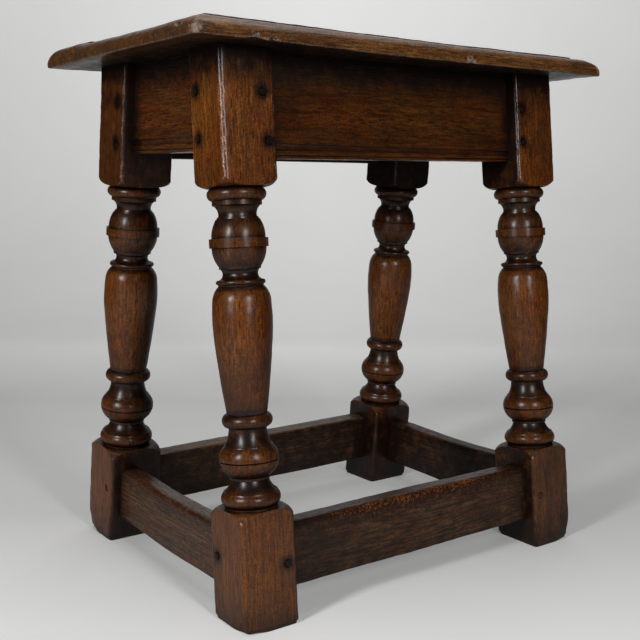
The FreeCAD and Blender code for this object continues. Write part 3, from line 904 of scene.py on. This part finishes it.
# How dark dirt is beside the legs and how far it reaches along a bar, how far from the arris feet have
# rubbed, and how much: the arrises of the long and of the end ones, and the outer upper edge of the front
# and of the left one
corner_dirt = 0.85
corner_reach = 0.013
rubbed_reach = 0.020
long_arris_rubbing = 1.0
end_arris_rubbing = 1.2
front_rubbing = 1.0
left_rubbing = 0.70


def mark_bar(piece, axis, length, rubbing, dirt_and_shade=0.0):
    """Marks a bar's rubbed edges, most in mid length, and its darkening: its own, which is dirt and painted
    shade, painted shade inside and under the seat, and dirt by the legs.
    """
    mark_relief(piece, lambda point: rubbing * (1.5 - 3 * abs(point[axis]) / length))

    # Darkening as dirt and painted shade: the bar's own share, painted shade under the seat and inside, and
    # dirt beside the legs
    def grime_and_shade(vertex):
        from_end = length / 2 - abs(vertex.co[axis])
        return max(dirt_and_shade, painted_shade_under_and_inside(vertex), corner_dirt * held(1 - from_end / corner_reach))

    mark(piece, "grime_and_shade", grime_and_shade)


def mark_rubbed(piece, along, half_length, outer, top, share):
    """Marks how near each point of a stretcher lies to the arris where feet rub, most in mid length."""
    across, place = outer

    def rubbed(vertex):
        distance = math.hypot(vertex.co[across] - place, vertex.co.z - top)
        mid_length = held(1.45 - abs(vertex.co[along]) / half_length)
        return share * held(1.15 - distance / rubbed_reach) * mid_length

    mark(piece, "rubbed", rubbed)


def worn_hollow(piece, middle, reach, depth):
    """Wears a hollow where feet have rested: the top's nearest vertices sink, and draw the rest down."""
    take(piece)
    bpy.ops.object.mode_set(mode="EDIT")
    choose(piece, "verts", lambda vertex: (vertex.co - middle).length < reach / 6)
    bpy.ops.transform.translate(value=(0, 0, -depth), use_proportional_edit=True,
                                proportional_edit_falloff="SMOOTH", proportional_size=reach)
    bpy.ops.object.mode_set(mode="OBJECT")


def taper(piece, end_x, level, share):
    """Makes a long bar lower towards one end, where heights about a level shrink to a share of themselves."""
    take(piece)
    bpy.ops.object.mode_set(mode="EDIT")
    choose(piece, "verts", lambda vertex: abs(vertex.co.x - end_x) < 0.1 * near)
    bpy.ops.transform.resize(value=(1, 1, share), center_override=(end_x, 0, level),
                             use_proportional_edit=True, proportional_edit_falloff="LINEAR",
                             proportional_size=2 * inner_face)
    bpy.ops.mesh.reveal(select=False)
    bpy.ops.object.mode_set(mode="OBJECT")


rail_oak = oak("rail_oak", dark=(0.010, 0.003, 0.001, 1), body=(0.067, 0.018, 0.003, 1),
               light=(0.134, 0.050, 0.009, 1), streaks=0.7, bare_and_highlight=(0.140, 0.040, 0.012, 1), bareness_and_highlight=0.72,
               redness=0.7, dustiness=0.11, polish=0.8)
stretcher_oak = oak("stretcher_oak", dark=(0.005, 0.003, 0.002, 1), body=(0.100, 0.040, 0.012, 1),
                    light=(0.215, 0.103, 0.038, 1), streaks=0.96, bare_and_highlight=(0.140, 0.040, 0.012, 1),
                    bareness_and_highlight=0.92, redness=0.5, dustiness=0.10, polish=0.8,
                    rubbed_tones=((0.030, 0.007, 0.002, 1), (0.290, 0.100, 0.021, 1)))
long_grain = Matrix.Rotation(math.pi / 2, 4, "Y")
end_grain = Matrix.Rotation(-math.pi / 2, 4, "X")

# The long ones, laid out upright, leant with the front legs, and mirrored to the back
top = long_stretcher_rise + long_stretcher_height
long_outer = long_stretcher_setback - half_leg
# The last value of each is how much darker the bar is made, as painted shade and dirt
for end, mirror, offset, dirt_and_shade in (("front", as_laid, (0.21, 0.3, 5.1), 0.54),
                                  ("back", to_back, (0.61, 0.9, 6.3), 0.30)):
    piece = bar("oak_long_stretcher_" + end, (-inner_face, long_outer, long_stretcher_rise),
                (inner_face, long_outer + long_stretcher_thickness, top))
    round_arrises(piece, 0, long_outer_arris,
                  lambda middle: middle.z > top - near and middle.y < long_outer + near)
    round_arrises(piece, 0, long_inner_arris,
                  lambda middle: middle.z > top - near and middle.y > long_outer + inner_side)
    round_arrises(piece, 0, lower_arris, lambda middle: middle.z < long_stretcher_rise + near)
    for axis in (0, 2, 1):
        divide(piece, axis, bar_step)
    if end == "front":
        mark_rubbed(piece, 0, inner_face, (1, long_outer), top, front_rubbing)
    else:
        # The top of the back one falls towards its left end, and its foot rises towards its right end
        taper(piece, -inner_face, long_stretcher_rise, back_taper_share)
        taper(piece, inner_face, top, back_taper_share)
    place(piece, mirror @ lean)
    wear(piece, *stretcher_wear)
    wear(piece, *stretcher_bow)
    lay_grain(piece, mirror @ lean @ long_grain, offset)
    mark_bar(piece, 0, 2 * inner_face, long_arris_rubbing, dirt_and_shade)
    smooth(piece, sharp_edge)
    piece.data.materials.append(stretcher_oak)
    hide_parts("long_stretcher_" + end)
    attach(piece, "root")


def fit_between_legs(piece):
    """Saws both ends of a bar to the rake, against the faces of the legs."""
    shoulder = foot_depth / 2 - leg_side / math.cos(rake)
    saw(piece, (0, -shoulder, 0), (0, -math.cos(rake), math.sin(rake)))
    saw(piece, (0, shoulder, 0), (0, math.cos(rake), math.sin(rake)))


# The end ones, laid out at the left, sawn between the legs, and mirrored to the right
top = end_stretcher_rise + end_stretcher_height
end_outer = end_stretcher_setback - frame_width / 2
# The last value of each is how much darker the bar is made, as painted shade and dirt
for end, mirror, offset, dirt_and_shade in (("left", as_laid, (0.33, 0.12, 7.7), 0.0),
                                  ("right", to_right, (0.83, 0.52, 8.4), 0.78)):
    piece = bar("oak_end_stretcher_" + end, (end_outer, -foot_depth / 2, end_stretcher_rise),
                (end_outer + end_stretcher_thickness, foot_depth / 2, top))
    round_arrises(piece, 1, end_outer_arris,
                  lambda middle: middle.z > top - near and middle.x < end_outer + near)
    round_arrises(piece, 1, end_inner_arris,
                  lambda middle: middle.z > top - near and middle.x > end_outer + inner_side)
    round_arrises(piece, 1, lower_arris, lambda middle: middle.z < end_stretcher_rise + near)
    for axis in (1, 2, 0):
        divide(piece, axis, bar_step)
    if end == "left":
        mark_rubbed(piece, 1, foot_depth / 2 - leg_side, (0, end_outer), top, left_rubbing)
        mark(piece, "sawn", lambda vertex: 1.0 if vertex.co.x < end_outer + near else 0.0)
    fit_between_legs(piece)
    place(piece, mirror)
    worn_hollow(piece, mirror @ Vector((end_outer + hollow_inset, hollow_place, top)), hollow_reach,
                hollow_depth)
    wear(piece, *stretcher_wear)
    wear(piece, *stretcher_bow)
    lay_grain(piece, mirror @ end_grain, offset)
    mark_bar(piece, 1, foot_depth - 2 * leg_side, end_arris_rubbing, dirt_and_shade)
    smooth(piece, sharp_edge)
    piece.data.materials.append(stretcher_oak)
    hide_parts("end_stretcher_" + end)
    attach(piece, "root")


# The rails. Four boards tie the upper blocks under the seat, set back from the legs' faces, each with a
# moulding run along its lower edge with a scratch stock. The back one is a little narrower. Their tenons
# are hidden in the blocks too.
rail_thickness = 0.022
back_rail_height = 0.0895
long_rail_setback = 0.0126
end_rail_setback = 0.0105
moulding_height = 0.013
moulding_depth = 0.0032
fillet_share = 0.40
moulding_shares = [
    ("ledge", "line", [(0.50, 1.00)]),
    ("hollow", "arc", [(0.88, 0.82), (0.80, 0.64)]),
    ("bead", "arc", [(0.08, 0.42), (0.75, 0.20)]),
    ("fillet", "line", [(fillet_share, 0.20), (fillet_share, 0.00)]),
]
moulding_step = 0.0006
sawing_allowance = 0.006
front_taper_share = 0.80
rail_wear = (0.0004, 0.014)
rail_bow = (0.0010, 0.090, 0.55)
rail_rubbing = 0.12


def moulded_bar(name, height, slant, along, point):
    """A rail: its section's outline drawn and filled, then drawn out along the rail."""
    def moulded(depth_share, height_share):
        return Vector((depth_share * moulding_depth, height_share * moulding_height))

    section = outline(Vector((0, moulding_height)), moulding_shares, moulded, moulding_step)
    foot_lift = (rail_thickness - fillet_share * moulding_depth) * math.tan(slant)
    section += [Vector((rail_thickness, foot_lift)), Vector((rail_thickness, height)), Vector((0, height))]
    piece = drawn_line(name, [point(corner.x, corner.y) for corner in section])
    bpy.ops.object.mode_set(mode="EDIT")
    bpy.ops.mesh.select_all(action="SELECT")
    bpy.ops.mesh.edge_face_add()
    bpy.ops.mesh.extrude_region_move(TRANSFORM_OT_translate={"value": along})
    bpy.ops.mesh.select_all(action="SELECT")
    bpy.ops.mesh.normals_make_consistent(inside=False)
    bpy.ops.object.mode_set(mode="OBJECT")
    return piece


long_outer = long_rail_setback - half_leg
for end, mirror, height, offset in (("front", as_laid, long_rail_height, (0.14, 0.44, 9.2)),
                                    ("back", to_back, back_rail_height, (0.64, 0.34, 10.6))):
    bottom = leg_length - height
    piece = moulded_bar("oak_long_rail_" + end, height + sawing_allowance, rake,
                        Vector((2 * inner_face, 0, 0)),
                        lambda depth, rise: Vector((-inner_face, long_outer + depth, bottom + rise)))
    for axis in (0, 2):
        divide(piece, axis, bar_step)
    if end == "front":
        # Its moulding narrows towards the right end. What stands above the ledge is hidden, so it stays.
        ledge = bottom + moulding_height
        bpy.ops.object.mode_set(mode="EDIT")
        choose(piece, "verts", lambda vertex: vertex.co.z > ledge - 0.1 * near)
        bpy.ops.mesh.hide()
        bpy.ops.object.mode_set(mode="OBJECT")
        taper(piece, inner_face, ledge, front_taper_share)
    place(piece, mirror @ lean)
    saw(piece, (0, 0, frame_height), (0, 0, 1))
    wear(piece, *rail_wear)
    wear(piece, *rail_bow)
    lay_grain(piece, mirror @ lean @ long_grain, offset)
    mark_bar(piece, 0, 2 * inner_face, rail_rubbing)
    smooth(piece, sharp_edge)
    piece.data.materials.append(rail_oak)
    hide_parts("long_rail_" + end)
    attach(piece, "root")

end_outer = end_rail_setback - frame_width / 2
end_bottom = frame_height - end_rail_height
for end, mirror, offset in (("left", as_laid, (0.93, 0.64, 11.9)), ("right", to_right, (0.43, 0.74, 12.7))):
    piece = moulded_bar("oak_end_rail_" + end, end_rail_height, 0, Vector((0, foot_depth, 0)),
                        lambda depth, rise: Vector((end_outer + depth, -foot_depth / 2, end_bottom + rise)))
    for axis in (1, 2):
        divide(piece, axis, bar_step)
    fit_between_legs(piece)
    place(piece, mirror)
    wear(piece, *rail_wear)
    lay_grain(piece, mirror @ end_grain, offset)
    mark_bar(piece, 1, head_depth - 2 * leg_side, rail_rubbing)
    smooth(piece, sharp_edge)
    piece.data.materials.append(rail_oak)
    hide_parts("end_rail_" + end)
    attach(piece, "root")


# The pegs. Riven from oak, eight-sided and tapered, they are driven through leg and tenon. Their heads are
# end grain that has soaked up dirt and wax until it is nearly black, and stand a little proud. Two of them
# have been rubbed clean.
peg_sides = 8
peg_proud = 0.0004
peg_dome = 0.0002
peg_rim_share = 0.18
peg_tip_share = 0.75
peg_cuts = 9
peg_turn_step = 0.7
timber_step = Vector((0.13, 0.07, 0))
peg_wear = (0.0009, 0.0022)
peg_edge = 30
rubbed_pegs = ("long_stretcher_front_right", "end_stretcher_left_back")
rubbed_clean = 1.3
peg_oak = oak("peg_oak", dark=(0.002, 0.0015, 0.001, 1), body=(0.008, 0.005, 0.004, 1),
              light=(0.030, 0.019, 0.014, 1), relief=1.0, roughness=0.50, bare_and_highlight=(0.075, 0.027, 0.010, 1),
              bareness_and_highlight=0.8, dustiness=0.03, polish=0.35)


def riven_peg(name, width, length, turn):
    """A peg standing on its head, which is whittled to a low dome."""
    start_alone()
    bpy.ops.mesh.primitive_cylinder_add(vertices=peg_sides, radius=width / 2, depth=length,
                                        location=(0, 0, length / 2 - peg_proud), rotation=(0, 0, turn))
    piece = bpy.context.object
    piece.name = name
    bpy.ops.object.transform_apply(location=True, rotation=True, scale=True)
    bpy.ops.object.mode_set(mode="EDIT")
    choose(piece, "faces", lambda face: face.normal.z < -0.9)
    bpy.ops.mesh.inset(thickness=peg_rim_share * width, depth=0.0)
    bpy.ops.transform.translate(value=(0, 0, -peg_dome))
    choose(piece, "faces", lambda face: face.normal.z > 0.9)
    bpy.ops.transform.resize(value=(peg_tip_share, peg_tip_share, 1))
    choose(piece, "edges", lambda edge: runs_along(edge, 2) or edge.calc_length() > 0.5 * length)
    bpy.ops.mesh.subdivide(number_cuts=peg_cuts)
    bpy.ops.object.mode_set(mode="OBJECT")
    return piece


# Each peg is turned a little further than the last one, and split from another place in the timber
number = 0
for corner, (mirror, *others) in corners.items():
    end, side = corner.split("_")
    for form, middle, face in peg_places(side):
        number += 1
        name = form.format(end=end, side=side)
        depth = long_peg_depth if face == "front" else end_peg_depth
        piece = riven_peg("oak_peg_" + name, peg_width, depth, peg_turn_step * number)
        layout = leg_layout(mirror) @ Matrix.Translation(middle) @ into[face]
        place(piece, layout)
        wear(piece, *peg_wear)
        lay_grain(piece, layout, number * timber_step)
        mark(piece, "rubbed", lambda vertex: rubbed_clean if name in rubbed_pegs else 0.0)
        smooth(piece, peg_edge)
        piece.data.materials.append(peg_oak)
        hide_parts("peg_" + name)
        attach(piece, "root")


# The seat board. One wide oak board, pegged down to the rails and hanging over them all round, with a
# thumbnail moulding round a raised field. It has dried hollow between its corners and lost splinters.
seat_end_overhang = 0.0387
seat_side_overhang = 0.0312
seat_length = frame_width + 2 * seat_end_overhang
seat_width = head_depth + 2 * seat_side_overhang
seat_thickness = 0.020
seat_edge_run = 0.021
seat_edge_step_share = 0.07
lower_arris_share = 0.07
seat_edge_shares = [
    ("lower arris", "arc", [(0.021, 0.025), (0.000, 0.080)]),
    ("nose", "line", [(0.000, 0.175)]),
    ("thumb tip", "arc", [(0.052, 0.430), (0.210, 0.620)]),
    ("thumb back", "arc", [(0.570, 0.820), (1.000, 0.890)]),
    ("quirk", "line", [(1.000, 0.965)]),
]
edge = outline(Vector((lower_arris_share, 0)), seat_edge_shares,
               lambda inset, height: Vector((inset, height)), seat_edge_step_share)
edge = [Vector((inset * seat_edge_run, height * seat_thickness)) for inset, height in edge]
start_alone()
bpy.ops.mesh.primitive_plane_add(size=1, location=(0, 0, frame_height))
board = bpy.context.object
board.name = "oak_seat_board"
board.scale = (seat_length - 2 * edge[0].x, seat_width - 2 * edge[0].x, 1)
bpy.ops.object.transform_apply(location=True, rotation=True, scale=True)
bpy.ops.object.mode_set(mode="EDIT")
bpy.ops.mesh.select_mode(type="FACE")
bpy.ops.mesh.select_all(action="SELECT")
for here, there in zip(edge, edge[1:]):
    bpy.ops.mesh.extrude_region_move(TRANSFORM_OT_translate={"value": (0, 0, there.y - here.y)})
    bpy.ops.transform.resize(value=((seat_length - 2 * there.x) / (seat_length - 2 * here.x),
                                    (seat_width - 2 * there.x) / (seat_width - 2 * here.x), 1))
bpy.ops.mesh.select_all(action="SELECT")
bpy.ops.mesh.normals_make_consistent(inside=False)
bpy.ops.object.mode_set(mode="OBJECT")
for axis in (0, 1):
    divide(board, axis, bar_step)

# How the board has moved: its front edge sags in the middle, its back left corner has drawn out and down,
# and the field there has lifted. Each is where it is gripped, how it moves, and over what reach.
seat_left = -seat_length / 2
seat_front = -seat_width / 2
seat_back = seat_width / 2
field_foot = frame_height + 0.55 * seat_thickness
warps = [
    (lambda point: abs(point.x) < 0.03 and point.y < seat_front + 0.005,
     (0, 0, -0.0010), 0.17),
    (lambda point: point.x < seat_left + 0.006 and point.y > seat_back - 0.006,
     (-0.002, 0.004, -0.0014), 0.09),
    (lambda point: point.x < seat_left + 0.03 and point.y > seat_back - 0.05 and point.z > field_foot,
     (0, 0, 0.0022), 0.012),
]
bpy.ops.object.mode_set(mode="EDIT")
for gripped, shift, reach in warps:
    choose(board, "verts", lambda vertex: gripped(vertex.co))
    bpy.ops.transform.translate(value=shift, use_proportional_edit=True,
                                proportional_edit_falloff="SMOOTH", proportional_size=reach)

# The splinters that its edge has lost: the middle of each, what it has lost there, and how wide it is
chips = [
    ((seat_left, seat_front, frame_height + 0.006), (0.0022, 0.0022, -0.0006), 0.010),
    ((seat_left + 0.001, seat_front + 0.031, frame_height + 0.013), (0.0024, 0, -0.0022), 0.0065),
    ((-0.180, seat_front + 0.001, frame_height), (0, 0.0016, 0.0016), 0.0075),
    ((-0.166, seat_front + 0.001, frame_height), (0, 0.0022, 0.0012), 0.0065),
    ((0.052, seat_front + 0.001, frame_height), (0, 0.0016, 0.0010), 0.0080),
]
board_wear = (0.0010, 0.011)
board_bow = (0.0016, 0.085, 0.5)
for middle, loss, reach in chips:
    middle = Vector(middle)
    nearest = min((vertex.co - middle).length for vertex in bmesh.from_edit_mesh(board.data).verts)
    choose(board, "verts", lambda vertex: (vertex.co - middle).length < nearest + near / 2)
    bpy.ops.transform.translate(value=loss, use_proportional_edit=True,
                                proportional_edit_falloff="SHARP", proportional_size=reach)
bpy.ops.object.mode_set(mode="OBJECT")
wear(board, *board_wear)
wear(board, *board_bow)
lay_grain(board, Matrix.Translation((0, 0, frame_height)) @ long_grain, (0.27, 0.07, 14.1))
mark_relief(board)

# How dark the board is made underneath, as painted shade and dirt, how dirty it is at its left end, how broad
# the rim at its ends is that the underside's darkening leaves out, and how far the dirt at the left end fades
underside_shade_and_dirt = 0.78
left_end_dirt = 0.45
end_rim = 0.012
fading = 0.006


def splintered(vertex):
    """How near a point lies to a lost splinter, where the wood is fresh."""
    return max(held(1.3 - (vertex.co - Vector(middle)).length / (0.8 * reach))
               for middle, loss, reach in chips)


def board_grime_and_shade(vertex):
    """Darkening on the board: painted shade and dirt on its underside, but not on a rim at the ends, and dirt
    on its left end's edge.
    """
    from_end = seat_length / 2 - abs(vertex.co.x)
    underneath = held(-2 * vertex.normal.z - 0.8) * held((from_end - end_rim) / end_rim)
    from_left = vertex.co.x - seat_left
    return max(underside_shade_and_dirt * underneath, left_end_dirt * held((end_rim - from_left) / fading))


mark(board, "rubbed", splintered)
mark(board, "grime_and_shade", board_grime_and_shade)
smooth(board, sharp_edge)
board_oak = oak("board_oak", dark=(0.018, 0.007, 0.003, 1), body=(0.130, 0.052, 0.014, 1),
                light=(0.270, 0.125, 0.036, 1), streaks=0.8, bareness_and_highlight=0.35)
board.data.materials.append(board_oak)
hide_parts("seat_board")
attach(board, "root")


# The seat pegs. Four stouter pegs of riven oak hold the board down. They are driven through it into the long
# rails, and their heads stand level with its field.
seat_peg_width = 0.0084
seat_peg_depth = 0.028
seat_peg_offset = 0.038
seat_peg_turn = 0.3
across = inner_face - seat_peg_offset
rail_head = lean @ Vector((0, long_rail_setback - half_leg + rail_thickness / 2, leg_length))
depth = rail_head.y
head_up = Matrix.Rotation(math.pi, 4, "X")
for end, side in (("front", "left"), ("front", "right"), ("back", "left"), ("back", "right")):
    name = "seat_" + end + "_" + side
    piece = riven_peg("oak_peg_" + name, seat_peg_width, seat_thickness + seat_peg_depth, seat_peg_turn)
    head = Vector((-across if side == "left" else across, depth if end == "front" else -depth,
                   frame_height + seat_thickness))
    layout = Matrix.Translation(head) @ head_up
    place(piece, layout)
    lay_grain(piece, layout, (across, depth, 0))
    smooth(piece, peg_edge)
    piece.data.materials.append(peg_oak)
    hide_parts("peg_" + name)
    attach(piece, "root")


# The studio floor: one sheet of pale paper, which sweeps up behind the stool into the backdrop. The camera
# and polished wood see it pale, with a painted glow that grows towards its top, painted shade towards its
# sides, and a painted shadow under and behind the stool. To all other rays it is a mid grey, so that it
# throws little light on the stool.
view_yaw = math.radians(36.24)
sweep_start = 1.25
sweep_radius = 1.1
wall_height = 4.0
half_sheet = 1.3
near_edge = -3.0
sweep_step = 0.1
diagonal = math.sqrt(1 / 2)
sweep = [Vector((near_edge, 0)), Vector((sweep_start, 0))]
sweep += round_stretch(sweep[-1], Vector((sweep_start + sweep_radius * diagonal,
                                          sweep_radius * (1 - diagonal))),
                       Vector((sweep_start + sweep_radius, sweep_radius)), sweep_step)
sweep.append(Vector((sweep_start + sweep_radius, wall_height)))
paper = drawn_line("paper_floor", [Vector((-half_sheet, p.x, p.y)) for p in sweep])
bpy.ops.object.mode_set(mode="EDIT")
bpy.ops.mesh.select_all(action="SELECT")
bpy.ops.mesh.extrude_edges_move(TRANSFORM_OT_translate={"value": (2 * half_sheet, 0, 0)})
bpy.ops.object.mode_set(mode="OBJECT")
take(paper)
paper.matrix_world = Matrix.Rotation(-view_yaw, 4, "Z")
bpy.ops.object.transform_apply(location=True, rotation=True, scale=True)
smooth(paper, sharp_edge)

# Its tones: near the camera, and under and behind the stool, where it is darker as a painted shadow, and what
# it gains towards the backdrop. Then how much lighter the middle is than the sides, which are darker as
# painted shade, and the painted glow that grows with its height.
near_tone = 0.64
stool_shade_tone = 0.42
backdrop_gain = 0.37
middle_share = 1.045
shaded_side_share = 0.965
low_painted_glow = 0.13
high_painted_glow = 0.34
black = (0, 0, 0, 1)
white = (1, 1, 1, 1)
paper_tint = (1.0, 1.0, 0.985, 1)
unseen_grey = (0.20, 0.20, 0.195, 1)
paper_white = bpy.data.materials.new("paper")
paper_white.use_nodes = True
tree = paper_white.node_tree
surface = tree.nodes["Principled BSDF"]
place_on_floor = add_node(tree, "ShaderNodeTexCoord").outputs["Object"]
mottle = rescaled(tree, noise(tree, place_on_floor, 2.5, 3.0, 0.6), 0.3, 0.7, -0.02, 0.02)

# How far a point lies ahead of the stool's middle, and how far to its side: the paper's own length and width
lengthwise = (math.sin(view_yaw), math.cos(view_yaw), 0)
sidewise = (math.cos(view_yaw), -math.sin(view_yaw), 0)
ahead = vectors(tree, "DOT_PRODUCT", place_on_floor, lengthwise)
aside = vectors(tree, "DOT_PRODUCT", place_on_floor, sidewise)
# The tone: a painted shadow under and behind the stool, lighter towards the backdrop, and painted shade
# towards the sides
tone = maths(tree, "ADD", rescaled(tree, ahead, -0.22, 0.05, near_tone, stool_shade_tone),
             rescaled(tree, ahead, 0.6, 1.1, 0.0, backdrop_gain))
spread = maths(tree, "DIVIDE", maths(tree, "ABSOLUTE", aside), maths(tree, "ADD", ahead, 1.2))
sides = rescaled(tree, spread, 0.0, 0.30, middle_share, shaded_side_share)
tone = maths(tree, "MULTIPLY", maths(tree, "ADD", tone, mottle), sides)
pale = mixed(tree, tone, black, paper_tint)
path = tree.nodes.new("ShaderNodeLightPath").outputs
seen = maths(tree, "MAXIMUM", path["Is Camera Ray"], maths(tree, "MAXIMUM", path["Is Glossy Ray"],
                                                           path["Is Transmission Ray"]))
tree.links.new(mixed(tree, seen, unseen_grey, pale), surface.inputs["Base Color"])
# A painted glow, seen only by the camera and polished wood, brighter with height and dimmer at the sides
height = add_node(tree, "ShaderNodeSeparateXYZ", {0: place_on_floor}).outputs["Z"]
sides_twice = maths(tree, "MULTIPLY", sides, sides)
painted_glow = maths(tree, "MULTIPLY", rescaled(tree, height, 0.0, 0.95, low_painted_glow, high_painted_glow), sides_twice)
painted_glow = maths(tree, "MULTIPLY", seen, painted_glow)
tree.links.new(mixed(tree, painted_glow, black, white), surface.inputs["Emission Color"])
surface.inputs["Emission Strength"].default_value = 1.0
surface.inputs["Roughness"].default_value = 0.8
surface.inputs["Specular IOR Level"].default_value = 0.2
paper.data.materials.append(paper_white)


# The studio lights. A tall soft box stands at the left and one in front, which give the edges of the
# turnings their narrow highlights, and a wide one hangs overhead. All are aimed at the stool's middle.
aim = Vector((0, 0, 0.25))


def soft_box(name, direction, distance, width, height, power):
    """A rectangular soft light, from a direction seen from the stool, aimed at its middle."""
    light = bpy.data.lights.new(name, "AREA")
    light.shape = "RECTANGLE"
    light.size = width
    light.size_y = height
    light.energy = power
    holder = bpy.data.objects.new(name, light)
    bpy.context.collection.objects.link(holder)
    away = Vector(direction).normalized()
    holder.location = aim + away * distance
    holder.rotation_euler = away.to_track_quat("Z", "Y").to_euler()


soft_box("left_box", (-0.96, -0.26, 0.36), distance=1.9, width=0.26, height=0.62, power=26)
soft_box("front_box", (-0.135, -0.99, 0.36), distance=1.9, width=0.24, height=0.62, power=17)
soft_box("overhead_box", (0.1, 0.2, 1.0), distance=2.2, width=2.0, height=2.0, power=26)


# The room. It is dim, and adds only a little light from all sides, but the camera sees it pale where it
# shows past the edges of the paper.
room_light = 0.04
room_seen = 0.62
world = bpy.data.worlds.new("studio")
bpy.context.scene.world = world
world.use_nodes = True
tree = world.node_tree
seen = tree.nodes.new("ShaderNodeLightPath").outputs["Is Camera Ray"]
room = tree.nodes["Background"]
room.inputs["Color"].default_value = (0.92, 0.95, 1.0, 1)
tree.links.new(rescaled(tree, seen, 0, 1, room_light, room_seen), room.inputs["Strength"])
bpy.context.scene.view_settings.view_transform = "Standard"


# The camera, at the photograph's place: a little under the height of the rails, and out from the stool's
# front left corner. It looks slightly down, and its shift frames the stool as the photograph does.
camera_place = Vector((-0.5913, -0.7927, 0.3643))
view_pitch = math.radians(-5.023)
view_roll = math.radians(0.479)
lens = bpy.data.cameras.new("camera")
lens.sensor_width = 36
lens.lens = 54.98
lens.shift_x = -0.0029
lens.shift_y = -0.0845
camera = bpy.data.objects.new("camera", lens)
bpy.context.collection.objects.link(camera)
aimed = Euler((math.pi / 2 + view_pitch, 0, -view_yaw)).to_matrix() @ Matrix.Rotation(view_roll, 3, "Z")
camera.matrix_world = Matrix.Translation(camera_place) @ aimed.to_4x4()
bpy.context.scene.camera = camera


bpy.context.view_layer.update()
